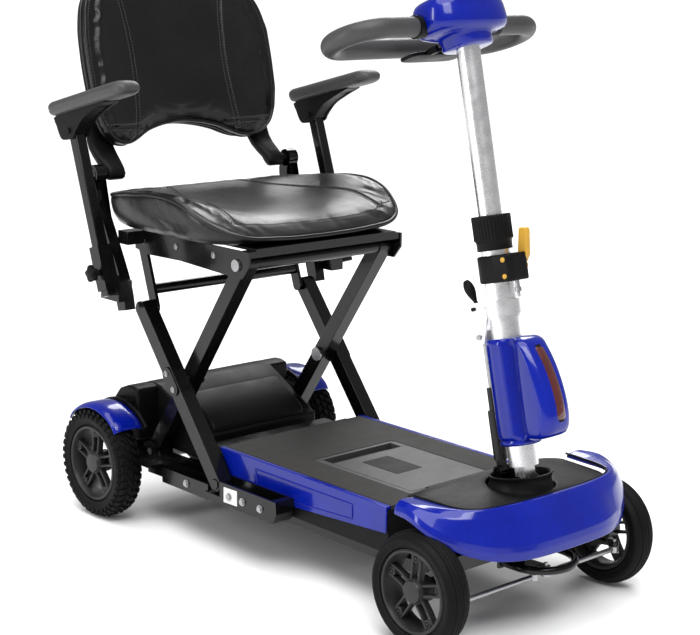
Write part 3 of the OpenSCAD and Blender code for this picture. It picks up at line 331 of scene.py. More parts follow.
def finish(name, colour, second, rough, spread=0.08, metal=0.0, coat=0.0, size=25.0, share=0.6, pattern=None,
           pattern_values=(), depth=0.0002, strength=0.3, specular=0.5):
    """Base colour from tone, roughness = rough + spread x mask, normal from a group's height through a bump."""
    mat = bpy.data.materials.new(name)
    mat.use_nodes = True
    tree = mat.node_tree
    shader = tree.nodes["Principled BSDF"]
    shader.inputs["Metallic"].default_value = metal
    shader.inputs["Coat Weight"].default_value = coat
    shader.inputs["Coat Roughness"].default_value = 0.04
    shader.inputs["Specular IOR Level"].default_value = specular
    vary = add(tree, "ShaderNodeGroup", node_tree=tone)
    vary.inputs["Colour"].default_value, vary.inputs["Second"].default_value = colour4(colour), colour4(second)
    vary.inputs["Size"].default_value, vary.inputs["Share"].default_value = size, share
    tree.links.new(vary.outputs["Colour"], shader.inputs["Base Color"])
    level = math_node(tree, "ADD", math_node(tree, "MULTIPLY", vary.outputs["Mask"], float(spread)), float(rough))
    tree.links.new(level, shader.inputs["Roughness"])
    if pattern:
        relief = add(tree, "ShaderNodeGroup", node_tree=pattern)
        for label, value in dict(pattern_values).items():
            relief.inputs[label].default_value = value
        bump = add(tree, "ShaderNodeBump", [(relief.outputs["Height"], "Height")])
        bump.inputs["Strength"].default_value, bump.inputs["Distance"].default_value = strength, depth
        tree.links.new(bump.outputs["Normal"], shader.inputs["Normal"])
    return mat


orange_peel = {"Size": 260.0, "Push": 0.004}
FINISH = {
    "blue_gloss": finish("blue lacquer", (0.0006, 0.007, 0.21), (0.0008, 0.011, 0.28), 0.2, 0.05, coat=0.5,
                         size=14, specular=0.15,
                         pattern=grain, pattern_values=orange_peel, depth=0.0003, strength=0.03),
    "black_steel": finish("black powder coat", (0.0018, 0.0018, 0.002), (0.004, 0.004, 0.0042), 0.16, 0.1, coat=0.15,
                          size=18, specular=0.25, pattern=grain, pattern_values={"Size": 420.0, "Push": 0.002},
                          strength=0.06),
    "deck_black": finish("satin black paint", (0.003, 0.003, 0.0032), (0.006, 0.006, 0.0063), 0.4, 0.12,
                         size=20, specular=0.11,
                         pattern=grain, pattern_values={"Size": 600.0, "Push": 0.002}, strength=0.12),
    "mat_rubber": finish("deck mat rubber", (0.022, 0.021, 0.020), (0.034, 0.033, 0.031), 0.6, 0.12, size=40,
                         specular=0.3,
                         pattern=ribs, pattern_values={"Pitch": 0.0035, "Cross": 1.0}, depth=0.0005, strength=0.35),
    "tyre_black": finish("tyre rubber", (0.003, 0.003, 0.003), (0.006, 0.0058, 0.0056), 0.5, 0.18, size=30,
                         specular=0.1,
                         pattern=grain, pattern_values={"Size": 900.0, "Push": 0.001}, depth=0.0003, strength=0.2),
    "black_plastic": finish("moulded black plastic", (0.0035, 0.0035, 0.0037), (0.006, 0.006, 0.0063), 0.38, 0.12,
                            size=22, specular=0.11,
                            pattern=grain, pattern_values={"Size": 1400.0, "Push": 0.001}, strength=0.25),
    "grey_plastic": finish("grey plastic", (0.040, 0.040, 0.041), (0.054, 0.054, 0.055), 0.38, 0.12, size=22,
                           specular=0.35,
                           pattern=grain, pattern_values={"Size": 1400.0, "Push": 0.001}, strength=0.2),
    "rim_black": finish("rim plastic", (0.014, 0.014, 0.0145), (0.022, 0.022, 0.0225), 0.36, 0.12, size=35,
                        specular=0.3,
                        pattern=grain, pattern_values={"Size": 1100.0, "Push": 0.001}, strength=0.2),
    "silver_alu": finish("polished aluminium tube", (0.84, 0.84, 0.86), (0.90, 0.90, 0.91), 0.24, 0.08, metal=1.0,
                         size=60, share=0.8, pattern=grain, pattern_values={"Size": 900.0, "Push": 0.001},
                         strength=0.04),
    "cast_alu": finish("cast aluminium", (0.40, 0.41, 0.42), (0.52, 0.52, 0.53), 0.38, 0.15, metal=1.0, size=60,
                       pattern=grain, pattern_values={"Size": 900.0, "Push": 0.002}, strength=0.3),
    "steel": finish("turned steel", (0.34, 0.34, 0.35), (0.46, 0.46, 0.47), 0.28, 0.15, metal=1.0, size=80,
                    pattern=ribs, pattern_values={"Pitch": 0.0012}, depth=0.0001, strength=0.1),
    "motor_steel": finish("motor paint", (0.075, 0.075, 0.078), (0.11, 0.11, 0.112), 0.35, 0.1, size=30,
                          pattern=grain, pattern_values={"Size": 500.0, "Push": 0.002}, strength=0.1),
    "leather": finish("black leathercloth", (0.002, 0.002, 0.002), (0.004, 0.0038, 0.0038), 0.29, 0.1, coat=0.05,
                      size=12, specular=0.35, pattern=grain, pattern_values={"Size": 520.0, "Push": 0.003},
                      depth=0.0003,
                      strength=0.16),
    "lever_yellow": finish("yellow plastic", (0.50, 0.27, 0.02), (0.58, 0.33, 0.03), 0.35, 0.1, size=40,
                           pattern=grain, pattern_values={"Size": 1200.0, "Push": 0.001}, strength=0.1),
    "lens_red": finish("lamp lens", (0.05, 0.003, 0.002), (0.10, 0.007, 0.004), 0.12, 0.06, coat=1.0, size=50,
                       pattern=ribs, pattern_values={"Pitch": 0.003, "Cross": 1.0}, depth=0.0004, strength=0.25),
    "cell_green": finish("cell sleeve", (0.10, 0.28, 0.14), (0.14, 0.34, 0.18), 0.4, 0.1, size=60),
}
thread = finish("grey thread", (0.03, 0.03, 0.03), (0.07, 0.07, 0.07), 0.5, 0.1, size=300)
plate_white = finish("blank plate", (0.62, 0.62, 0.62), (0.72, 0.72, 0.72), 0.35, 0.1, size=30, share=0.4)
for part in frame["record"]["subparts"]:
    node = frame["nodes"][part["node"]]
    node.data.materials.clear()
    node.data.materials.append(FINISH[part["material_slot"]])
BODY = {n: body for body, nodes in frame["record"]["behaviour"]["bodies"].items() for n in nodes}
SLOT = {part["node"]: part["material_slot"] for part in frame["record"]["subparts"]}
print(len(FINISH), "finishes on", len(SLOT), "nodes")


# %% A piece that stands for a node
def stand_for(node, parts, name=None, **more):
    """A piece in a node's own place: its body, slot and finish come from the record."""
    obj = make(name or node + "_skin", parts, FINISH[SLOT[node]], BODY[node], SLOT[node],
               replaces=(node,), **more)
    print(obj.name, len(obj.data.polygons), "faces on", BODY[node])
    return obj


def detail(name, like, parts, slot=None, material=None, **more):
    """A further piece that rides with a node but hides nothing."""
    slot = slot or SLOT[like]
    return make(name, parts, material or FINISH[slot], BODY[like], slot, **more)


# %% [markdown]
# ## Tyres
# The rear tyre is a fat low-pressure one with slanting blocks; the front one is a solid tyre with grooves round it.
# The carcass is one closed outline turned about the axle, and the blocks are raised boxes laid on it as an array.

# %% Tyres
def tyre_outline(r, r_in, w, crown, n=56):
    """Half width w: crown flat to shoulder, bulging sidewall, bead; a closed smooth curve of (radius, across)."""
    half = [(r, 0), (r - 0.03 * w, 0.30 * w), (r - crown, 0.66 * w), (r - 0.42 * (r - r_in), 0.985 * w),
            (r_in + 0.22 * (r - r_in), 0.90 * w), (r_in + 0.5, 0.74 * w)]
    both = half + [(a, -b) for a, b in half[:0:-1]]
    return smooth_line(both, n, closed=True)


def tread_blocks(r, centre_x, centre, rows, count, lift):
    """Each block: a slanted box, its corners at (angle, across) mapped to the circle of radius r - drop(across)."""
    parts = []
    for across, drop, slant, phase, length, width in rows:
        t = (np.arange(count) + phase) * 2 * PI / count
        u, v = np.array([-1, 1, 1, -1]) * length / 2, np.array([-1, -1, 1, 1]) * width / 2
        tops = np.array([0.78, 0.78, 0.78, 0.78])
        along = np.concatenate([u, u * tops])[None] / r + t[:, None] + slant * np.concatenate([v, v * tops])[None] / r
        x = centre_x + across + np.concatenate([v, v * tops])[None] + 0 * t[:, None]
        slope = -drop / max(abs(across), 1) * np.sign(across) if across else 0
        rad = (r - drop + slope * (x - centre_x - across) * 0.8
               + np.concatenate([np.full(4, -3.0), np.full(4, lift)])[None])
        P = np.stack([x / 1000, rad / 1000 * np.cos(along), rad / 1000 * np.sin(along)], -1) + centre
        base = np.array([[0, 1, 2, 3], [4, 7, 6, 5], [0, 4, 5, 1], [1, 5, 6, 2], [2, 6, 7, 3], [3, 7, 4, 0]])
        F = (base[None] + 8 * np.arange(count)[:, None, None]).reshape(-1, 4)
        parts.append((P.reshape(-1, 3), F))
    return parts


def wheel_centre(tyre):
    lo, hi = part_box(tyre)
    return (lo[0] + hi[0]) / 2 * 1000, np.array([0, (lo[1] + hi[1]) / 2, (lo[2] + hi[2]) / 2]), (hi[0] - lo[0]) * 500


for side in ("right", "left"):
    node = "rear_tyre_" + side
    x, c, w = wheel_centre(node)
    carcass = lathe(tyre_outline(92.4, 65.6, w - 0.8, 4.5), c + [x / 1000, 0, 0], n=128)
    rows = [(-5.5, 0, 0.9, 0.0, 9.0, 9.5), (5.5, 0, 0.9, 0.5, 9.0, 9.5), (-15.8, 3.0, -0.7, 0.25, 9.5, 8.5),
            (15.8, 3.0, -0.7, 0.75, 9.5, 8.5), (-22.3, 9.6, 0.0, 0.5, 8.5, 5.0), (22.3, 9.6, 0.0, 0.0, 8.5, 5.0)]
    stand_for(node, [carcass] + tread_blocks(92.4, x, c, rows, 40, 3.3))
    node = "front_tyre_" + side
    x, c, w = wheel_centre(node)
    outline = tyre_outline(86, 62.4, w, 4.0, 72)
    t = np.abs(outline[:, 1])
    groove = sum(1.8 * np.exp(-(((t - g) / 1.1) ** 2)) for g in (0.0, 5.5, 11.0)) * (outline[:, 0] > 80)
    outline[:, 0] -= groove
    fine = even(np.concatenate([outline, outline[:1]]), 150, closed=True)
    stand_for(node, [lathe(fine, c + [x / 1000, 0, 0], n=120)])

# %% [markdown]
# ## Rims
# Moulded rims with five pairs of thin parallel spokes. Each pair ends in a lug with a screw at the rim, and a flat
# round cap closes the hub. Spokes are bars swept from hub to rim along a shallow dish.

# %% Rims
def place_wheel(P, x0, side, c):
    """(across from the wheel's inner face, y, z) in mm to the frame; side mirrors it."""
    x = side * (x0 + P[..., 0]) / 1000 + 0 * P[..., 1]
    return np.stack([x, P[..., 1] / 1000 + c[1], P[..., 2] / 1000 + c[2]], -1)


def ring(profile, n=96):
    """Closed (radius, across) outline turned about the axle, before it is placed."""
    t = np.linspace(0, 2 * PI, n, endpoint=False)[:, None]
    p = np.asarray(profile, float)
    return np.stack([p[None, :, 1] + 0 * t, p[None, :, 0] * np.cos(t), p[None, :, 0] * np.sin(t)], -1)


def disc(profile, cy=0.0, cz=0.0, n=28):
    """Open (radius, across) outline from the axis and back to it, turned about a line at (cy, cz)."""
    t = np.linspace(0, 2 * PI, n, endpoint=False)[:, None]
    p = np.asarray(profile, float)
    return np.stack([p[None, :, 1] + 0 * t, cy + p[None, :, 0] * np.cos(t), cz + p[None, :, 0] * np.sin(t)], -1)


def rim_parts(R, w, side, x0, c, shaft):
    out = []
    barrel = [(R - 0.1, 0), (R - 0.1, w), (R - 2.5, w + 1.5), (R - 5, w + 0.6), (R - 7, w - 4), (R - 7.5, w - 14),
              (R - 9, w - 22), (R - 8, 4), (R - 5, 0)]
    out.append(grid(place_wheel(ring(barrel), x0, side, c), True, True))
    hub = [(0, w - 30), (19, w - 30), (19.5, w - 6), (18.3, w - 3.2), (17.6, w - 3.0), (17.0, w - 1.0), (15.8, w + 0.8),
           (14.6, w + 1.0), (0, w + 1.2)]
    out.append(grid(place_wheel(disc(hub, n=48), x0, side, c), True, False))
    for k in range(5):
        a = k * 2 * PI / 5 + 0.35
        for s in (-1, 1):
            u = np.linspace(0, 1, 9)
            rad = 15 + (R - 7 - 15) * u
            off = s * (7.2 + 0.9 * u)
            y, z = rad * math.cos(a) - off * math.sin(a), rad * math.sin(a) + off * math.cos(a)
            path = np.stack([w - 10 - 3.0 * np.sin(PI * u) * 0.5 - 1.5 * u, y, z], 1)
            P, F = sweep(path, round_box(4.2, 11, 1.4, 3), up=(1, 0, 0))
            out.append((place_wheel(P, x0, side, c), F))
        cy, cz = (R - 13) * math.cos(a), (R - 13) * math.sin(a)
        lug = [(0, w - 20), (6.8, w - 20), (6.8, w - 6.5), (5.8, w - 5.4), (4.0, w - 5.4), (3.6, w - 7.6), (0, w - 7.8)]
        out.append(grid(place_wheel(disc(lug, cy, cz), x0, side, c), True, False))
        head = [(0, w - 9), (2.6, w - 9), (2.6, w - 5.6), (1.9, w - 4.9), (0, w - 4.8)]
        out.append(grid(place_wheel(disc(head, cy, cz, 12), x0, side, c), True, False))
    r, a0, a1 = shaft
    rod = [(0, a0), (r, a0), (r, a1), (0, a1)]
    out.append(grid(place_wheel(disc(rod, n=32), x0, side, c), True, False))
    return out


for side, s in (("right", -1), ("left", 1)):
    for end, R, w, shaft in (("rear", 65, 42, (8.5, -146, 6)), ("front", 62, 36, (8, 4, 14))):
        x, c, half = wheel_centre(f"{end}_tyre_{side}")
        stand_for(f"{end}_rim_{side}", rim_parts(R, w, s, abs(x) - half + 3, c, shaft))

# %% [markdown]
# ## Scissor legs and square-tube parts
# The lift is square steel tube with round ends, powder coated so that light runs along each rounded edge. A side
# outline carried across the width gives each leg, and a Bevel modifier rounds its long edges.

# %% Bars in the side view
def stadium(p, q, w, n=12):
    """Outline of a bar of width w from p to q, (d, z) points, with a half circle round each end."""
    p, q = np.asarray(p, float), np.asarray(q, float)
    a = math.atan2(*(q - p)[::-1])
    t = np.linspace(PI / 2, 3 * PI / 2, n) + a
    s = np.linspace(-PI / 2, PI / 2, n) + a
    r = w / 2
    return np.concatenate([p + r * np.stack([np.cos(t), np.sin(t)], 1), q + r * np.stack([np.cos(s), np.sin(s)], 1)])


def bar_box(p, q, w):
    """The same bar with square ends."""
    p, q = np.asarray(p, float), np.asarray(q, float)
    u = (q - p) / np.linalg.norm(q - p)
    v = np.array([-u[1], u[0]]) * w / 2
    return np.array([p + v, p - v, q - v, q + v])


def both_sides(points, x0, x1):
    part = side_prism(points, x0, x1)
    return [part, mirror(part)]


def cross_rod(p, r, x0, x1, n=32, chamfer=0.6):
    """Round bar along the width at side-view place p, its ends chamfered."""
    c = spot(0, *p)
    line = [(0, x0), (r - chamfer, x0), (r, x0 + chamfer), (r, x1 - chamfer), (r - chamfer, x1), (0, x1)]
    t = np.linspace(0, 2 * PI, n, endpoint=False)[:, None]
    f = np.asarray(line, float)[None] / 1000
    P = np.stack([f[..., 1] + 0 * t, f[..., 0] * np.cos(t), f[..., 0] * np.sin(t)], -1) + c
    return grid(P, close_rows=True)


def hex_bolt(p, x, af=5.0, h=4.0, side=1):
    """Washer and a six-sided head with a socket, standing out along the width from x."""
    c = spot(side * x, *p)
    t = np.linspace(0, 2 * PI, 24, endpoint=False)[:, None]
    hexa = 1 / np.cos((t + PI / 6) % (PI / 3) - PI / 6)
    rad = [(0, 0), (af * 1.5, 0), (af * 1.5, 1.1), (af, 1.2), (af, h - 0.5), (af * 0.85, h), (af * 0.45, h),
           (af * 0.42, h - 1.5), (0, h - 1.6)]
    r = np.array([q[0] for q in rad])[None] * np.where((np.array([q[0] for q in rad]) == af)[None], hexa, 1)
    f = np.array([q[1] for q in rad])[None] * side
    P = np.stack([f / 1000 + 0 * t, r / 1000 * np.cos(t), r / 1000 * np.sin(t)], -1) + c
    return grid(P, close_rows=True)


foot_b, foot_a, cross_p, seat_p, top_a = (46, 116), (264, 116), (146.1, 263.9), (290.3, 476.8), (60.0, 372.0)
lo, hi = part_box("scissor_legs_inner")
print("inner legs from", [round(v * 1000) for v in lo], "to", [round(v * 1000) for v in hi])
inner = both_sides(stadium(foot_b, seat_p, 26), 132, 158) + [cross_rod(seat_p, 11, -133, 133)]
stand_for("scissor_legs_inner", inner, bevel=0.0028)
u_a = np.array([60.0 - 146.1, 372.0 - 263.9]) / math.hypot(86.1, 108.1)
plate = stadium(np.array(cross_p) - 14 * u_a, np.array(cross_p) + 14 * u_a, 24)
outer = both_sides(stadium(foot_a, top_a, 26), 163, 189) + both_sides(plate, 189, 192)
stand_for("scissor_legs_outer", outer + [m for s in (0, 1) for m in [
    (lambda q: mirror(q) if s else q)(cross_rod(foot_a, 9, 188.5, 191.1))]], bevel=0.0028)

# %% Bolts on the lift
bolts = []
for s in (-1, 1):
    for k in (-15, 15):
        bolts.append(hex_bolt(tuple(np.array(cross_p) + k * u_a), 192, 3.4, 3.0, s))
detail("crossing_bolts", "scissor_legs_outer", bolts, slot="steel")
seat_bolts = [hex_bolt((seat_p[0] + d, seat_p[1] + z), 165, 3.6, 3.0, s) for s in (-1, 1)
              for d, z in ((-60, 8), (-160, 8), (-252, 6))]
detail("seat_plate_bolts", "seat_frame", seat_bolts, slot="steel")
print("bolts", len(bolts), len(seat_bolts))

# %% [markdown]
# ## Armrests and the back frame
# Two curved flat uprights carry the backrest hinge, and a square post slides in a sleeve on each, held by a star knob.
# They're the same side outlines as in the CAD, with rounded edges.

# %% Posts, sleeves and knobs
hinge_p, post_low, post_top = np.array([-30.0, 591.8]), np.array([75.76, 405.49]), np.array([-18.0, 677.8])
post_dir = (post_top - post_low) / np.linalg.norm(post_top - post_low)


def bent_bar(points, w):
    """Both offset lines of a bent strip: each point moved half the width along its normal."""
    p = np.asarray(points, float)
    v = np.concatenate([p[1:2] - p[:1], p[2:] - p[:-2], p[-1:] - p[-2:-1]])
    n = unit(np.stack([-v[:, 1], v[:, 0]], 1)) * w / 2
    return np.concatenate([p + n, (p - n)[::-1]])


stand_for("armrest_posts", both_sides(bar_box(post_low, post_top, 20), 249, 269), bevel=0.0022)
upright = smooth_line([[52, 371.8], [40, 416.8], [-2, 496.8], [-34, 556.8], hinge_p], 22)
sleeve = post_low + 10 * post_dir
knob_at = sleeve + 30 * post_dir
frame_parts = both_sides(bent_bar(upright, 22), 200, 220)
frame_parts += both_sides(stadium(hinge_p, hinge_p + [0, -1], 30), 200, 220)
frame_parts += both_sides(bar_box(sleeve, sleeve + 74 * post_dir, 26), 246, 272)
frame_parts += both_sides(bar_box([30, 410.8], [82, 410.8], 34), 219.5, 246.5)
stand_for("back_frame", frame_parts, bevel=0.002)


def star_knob(side):
    """Radius r(t) = 11 + 2.6 cos 5t on the grip, with a stem and a domed face, about the width axis."""
    t = np.linspace(0, 2 * PI, 80, endpoint=False)[:, None]
    line = np.array([(0, 0), (5, 0), (5, 7), (9.5, 8), (12, 10), (12.6, 14), (11.5, 18), (8, 20), (0, 20.5)])
    star = np.where(line[None, :, 0] > 8, 1 + 0.2 * np.cos(5 * t) * np.minimum(1, (line[None, :, 0] - 7) / 5), 1)
    r = line[None, :, 0] * star / 1000
    P = np.stack([side * line[None, :, 1] / 1000 + 0 * t, r * np.cos(t), r * np.sin(t)], -1)
    return grid(P + spot(side * 271.5, *knob_at), close_rows=True)


detail("post_knobs", "back_frame", [star_knob(-1), star_knob(1)], slot="black_plastic")
hinge_pins = [hex_bolt(hinge_p, 220, 5.5, 4.0, s) for s in (-1, 1)]
detail("back_hinge_bolts", "back_frame", hinge_pins, slot="steel")

# %% Arm pads and their wedges
def arm_place(side, x, y, z):
    """The armrest's axes: x out from the post's middle, y to the back, z up, tilted 14 degrees up at the front."""
    a = math.radians(-14)
    pivot = spot(0, -14.74, 668.34)
    yy, zz = y * math.cos(a) - z * math.sin(a), y * math.sin(a) + z * math.cos(a)
    return np.stack([side * (259 + x) / 1000 + 0 * yy, pivot[1] + yy / 1000, pivot[2] + zz / 1000], -1)


def arm_pad(side):
    """Along the pad a section 52 mm wide, crowned on top and flat below, closes in a round nose in front and a
    squarer end behind."""
    u = np.concatenate([[0, 0.003, 0.012, 0.03, 0.06, 0.1], np.linspace(0.15, 0.88, 15),
                        [0.92, 0.955, 0.978, 0.992, 1]])
    nose = np.sqrt(np.clip(1 - (1 - np.minimum(u / 0.13, 1)) ** 2.2, 0, 1))
    tail = np.clip(1 - (1 - np.minimum((1 - u) / 0.05, 1)) ** 3, 0, 1) ** 0.5
    k = nose * tail
    t = oval(1, 1, 56, 3.0)
    top = t[None, :, 1] > 0
    X = 25.6 * (0.35 + 0.65 * k)[:, None] * (k > 0)[:, None] * t[None, :, 0] * np.where(top, 1, 0.96)
    Z = 40.5 + t[None, :, 1] * np.where(top, 14.4, 11.6) * k[:, None] - 3 * (1 - nose)[:, None]
    return grid(arm_place(side, X, (-174 + 216 * u)[:, None] + 0 * X, Z), close_cols=True)


def arm_plate(side, line, x0, x1):
    """A (y, z) outline in the armrest's axes carried across from x0 to x1, both ends fanned to its middle."""
    line = np.asarray(line, float)
    n, (my, mz) = len(line), line.mean(0)
    X = np.array([x0, x0, x1, x1])[:, None] + np.zeros((1, n))
    Y, Z = (np.stack([np.full(n, m), line[:, k], line[:, k], np.full(n, m)]) for k, m in ((0, my), (1, mz)))
    return grid(arm_place(side, X, Y, Z), close_cols=True)


def wedge(side):
    """Moulded bracket under the pad: two deep cheeks over the post, a curved strut in front and a saddle on top."""
    cheek = smooth_line([[32, 29], [33, 12], [26, -8], [14, -13], [-10, -13], [-20, -4], [-46, 12], [-84, 22],
                         [-112, 29], [-40, 30]], 60, True)
    out = [arm_plate(side, cheek, x0, x0 + 4) for x0 in (-15.2, 11.2)]
    saddle = smooth_line([[31, 29], [31, 24], [-60, 24], [-108, 27], [-112, 30], [-40, 31]], 50, True)
    out.append(arm_plate(side, saddle, -15, 15))
    web = smooth_line([[-13, -8], [-22, 0], [-48, 14], [-84, 24], [-84, 27], [-46, 18], [-18, 5], [-12, -2]], 50,
                      True)
    out.append(arm_plate(side, web, -12, 12))
    pin = np.array([(0, -18), (5, -18), (5, 18), (0, 18)])
    t = np.linspace(0, 2 * PI, 24, endpoint=False)[:, None]
    r = pin[None, :, 0]
    out.append(grid(arm_place(side, pin[None, :, 1] + 0 * t, r * np.cos(t), r * np.sin(t)), close_rows=True))
    return out


for side, s in (("right", -1), ("left", 1)):
    pad = stand_for("arm_pad_" + side, [arm_pad(s)], sharp=0)
    stand_for("armrest_" + side, wedge(s), bevel=0.0008)

# %% [markdown]
# ## Covers and fenders
# The bodywork is thin moulded skin in blue lacquer and dark plastic. The front fender is a band whose cross-section
# changes along its outline, from a narrow lip beside the deck to a broad nose.

# %% Front fender
fender_half = np.array([[206, 53.5], [211.5, 8], [204.5, -22], [186.5, -46], [156.5, -70], [119.5, -90], [62, -105.4]])
rim_half = np.array([[166, 53.5], [163, 8], [159, -22], [148, -42], [124, -54.5], [84, -61], [40, -63.5]])


def around(half, n=120):
    """The half outline and its mirror as one smooth line across the nose."""
    return smooth_line(np.concatenate([half, (half * [-1, 1])[::-1]]), n)


def fender_skin(n=120, m=17):
    """Blend of four lines across the band: lower lip, crease, crest and inner rim. Each one's height depends on
    w, 0 over the wheels and 1 at the nose: lip 184 to 131, crease 197 to 148, crest 203 to 205, rim 199 to 203."""
    out, rim = around(fender_half, n), around(rim_half, n)
    w = np.clip((30 - out[:, 1]) / 130, 0, 1)
    w = (w * w * (3 - 2 * w))[:, None]
    lift = 3.5 * np.exp(-((out[:, 1:] - 20) / 26) ** 2)
    lip = np.concatenate([out, 184.2 - 53 * w], 1)
    hem = np.concatenate([out + 0 * rim, 188.5 - 46 * w + lift], 1)
    crease = np.concatenate([out + 0.06 * (rim - out), 196 - 42 * w + lift], 1)
    face = np.concatenate([out + (0.24 + 0.22 * w) * (rim - out), 202.5 - 14 * w + lift * 0.6], 1)
    crest = np.concatenate([out + (0.55 + 0.24 * w) * (rim - out), 204 + 0.5 * w], 1)
    edge = np.concatenate([rim, 201 + 2 * w], 1)
    tuck = np.concatenate([rim + 0.04 * (rim - out), 196 + 2 * w], 1)
    key = np.stack([lip, hem, crease, crease * 0.86 + face * 0.14, face, crest, edge, tuck])
    q = np.linspace(0, len(key) - 1, 2 * m)
    i = np.minimum(q.astype(int), len(key) - 2)
    f = (q - i)[:, None, None]
    P = key[i] * (1 - f) + key[i + 1] * f
    P[..., 1] = DATUM_Y * 1000 - 752 + P[..., 1]
    return P / 1000


P = fender_skin()
stand_for("front_fender", [grid(P)], solid=0.0032, subdivide=1, sharp=math.radians(60))

# %% Front cover and its piping
def cover_skin(n=120, m=14):
    """Polar surface between an outer line and the boot's opening: height rises from 198 at the rim to 203 round the
    boot, then turns down into the opening."""
    front = around(rim_half - [4, -3], n)
    back = smooth_line([front[-1], [-150, 84], [-120, 108], [-60, 116.5], [60, 116.5], [120, 108], [150, 84],
                        front[0]], 100)
    line = np.concatenate([front, back[1:-1]])
    line = even(np.concatenate([line, line[:1]]), 200, closed=True)
    a = np.arctan2(line[:, 1], line[:, 0])
    hole = 51.5 * np.stack([np.cos(a), np.sin(a)], 1)
    r = np.concatenate([[0, 0, 0.02], np.linspace(0.06, 0.97, m), [1.0, 1.0]])
    drop = np.concatenate([[-14, -3, 0], np.zeros(m), [-1.0, -9]])
    XY = line[None] + r[:, None, None] * (hole - line)[None]
    rear = np.clip((XY[..., 1] - 58) / 58, 0, 1)
    side = np.clip((np.abs(XY[..., 0]) - 110) / 45, 0, 1)
    Z = 198 + 3.5 * np.sin(PI / 2 * r)[:, None] - 24 * rear**2 - 4 * side**2 + drop[:, None]
    P = np.concatenate([XY, Z[..., None]], -1)
    P[..., 1] = DATUM_Y * 1000 - 752 + P[..., 1]
    return P / 1000


P = cover_skin()
closing = side_prism([(633, 139), (633, 172), (638, 184), (690, 188), (690, 139)], -83, 83)
stand_for("front_cover", [grid(P, close_cols=True)], solid=0.003, sharp=math.radians(60))
detail("front_cover_back", "front_cover", [closing], bevel=0.003)
seam_line = around(rim_half - [1, -0.8], 140)
path = np.concatenate([seam_line, np.full((140, 1), 202.2)], 1)
path[:, 1] = DATUM_Y * 1000 - 752 + path[:, 1]
detail("cover_piping", "front_cover", [sweep(path / 1000, oval(0.0017, 0.0017, 10), up=(0, 0, 1))], sharp=0)
print("cover and piping made")

# %% Motor cover and rear fenders
cover_side = [(-66, 116), (-60, 170), (-50, 196), (-34, 214), (-10, 223.5), (6, 224), (24, 222), (52, 208),
              (150, 158), (150, 116)]
ends = [(-66, 130), (-60, 170), (-50, 196), (-34, 214), (-12, 222.5), (4, 223.5), (20, 220), (20, 130)]
panel = [(60, 202), (65, 214), (76, 211.5), (143, 173.5), (147, 166), (146, 158)]
stand_for("motor_cover", [side_prism(cover_side, -125.5, 125.5), side_prism(ends, -168, 168),
                          side_prism(panel, -99.5, 99.5)], bevel=0.005)


def arch_skin(side, n=48, m=25):
    """Radius r = 105 - 9 |v|^5 across the arch (v from -1 to 1), about the axle, between 44 and 136 degrees."""
    t = np.linspace(math.radians(43.8), math.radians(136.2), n)[:, None]
    v = np.linspace(-1, 1, m)[None]
    end = np.clip((np.abs(t - PI / 2) - 0.62) / 0.19, 0, 1)
    r = 105 - 7.5 * np.abs(v) ** 4 - 4 * end**2
    c = spot(0, -14, 96)
    P = np.stack([side * (212 + 29.6 * v + 0 * t) / 1000, c[1] + r / 1000 * np.cos(t), c[2] + r / 1000 * np.sin(t)], -1)
    return grid(P if side > 0 else P[::-1])


for s, name in ((1, "left"), (-1, "right")):
    piece = detail("rear_fender_" + name, "rear_fenders", [arch_skin(s)], solid=0.003, subdivide=1,
                   sharp=math.radians(60))
    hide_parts("rear_fenders")
    t = np.linspace(math.radians(42), math.radians(138), 40)
    c = spot(s * 181, -14, 96)
    arc = np.stack([np.full(40, c[0]), c[1] + 0.1 * np.cos(t), c[2] + 0.1 * np.sin(t)], 1)
    trim = sweep(arc, round_box(0.012, 0.005, 0.0015, 4), up=(1, 0, 0))
    detail("rear_fender_trim_" + name, "rear_fenders", [trim, side_prism([(-34, 190), (10, 190), (10, 200), (-34, 200)],
           min(s * 167, s * 184), max(s * 167, s * 184))], slot="black_plastic")
print("rear fenders made")

# %% [markdown]
# ## The tiller
# Everything on the tiller is drawn in the tube's own axes: across, towards the rider, and up the tube from the fold
# pivot. One function turns those into the frame, and the head uses the same with a further tilt.

# %% Tiller axes
LEAN, HEAD_LEAN = math.radians(13.1), math.radians(21.1)


def up_tube(x, y, s, lean=LEAN, d0=764.0, z0=205.0):
    """(x, y, s) in mm: d = 764 - s sin lean - y cos lean, z = 205 + s cos lean - y sin lean."""
    x, y, s = np.broadcast_arrays(*(np.asarray(v, float) for v in (x, y, s)))
    d = d0 - s * math.sin(lean) - y * math.cos(lean)
    return np.stack([x / 1000, DATUM_Y - d / 1000, (z0 + s * math.cos(lean) - y * math.sin(lean)) / 1000], -1)


def at_head(x, y, z):
    """The head's axes start at s = 656 on the tube and lean 21.1 degrees."""
    return up_tube(x, y, z, HEAD_LEAN, 764 - 656 * math.sin(LEAN), 205 + 656 * math.cos(LEAN))


def turned(profile, place=up_tube, cx=0.0, cy=0.0, n=64, wave=None):
    """(radius, s) outline turned about the tube's line; wave(t, r) may add to the radius."""
    t = np.linspace(0, 2 * PI, n, endpoint=False)[:, None]
    p = np.asarray(profile, float)[None]
    r = p[..., 0] + (wave(t, p[..., 0]) if wave else 0)
    return grid(place(cx + r * np.cos(t), cy + r * np.sin(t), p[..., 1] + 0 * t), close_rows=True)


def loft(sections, place=up_tube):
    """Rings of (x, y) at heights s, with a first and last ring shrunk to its middle."""
    rings = np.stack([np.concatenate([xy, np.full((len(xy), 1), s)], 1) for s, xy in sections])
    a, b = rings[:1].mean(1, keepdims=True) + 0 * rings[:1], rings[-1:].mean(1, keepdims=True) + 0 * rings[-1:]
    P = np.concatenate([a, rings, b])
    return grid(place(P[..., 0], P[..., 1], P[..., 2]), close_cols=True)


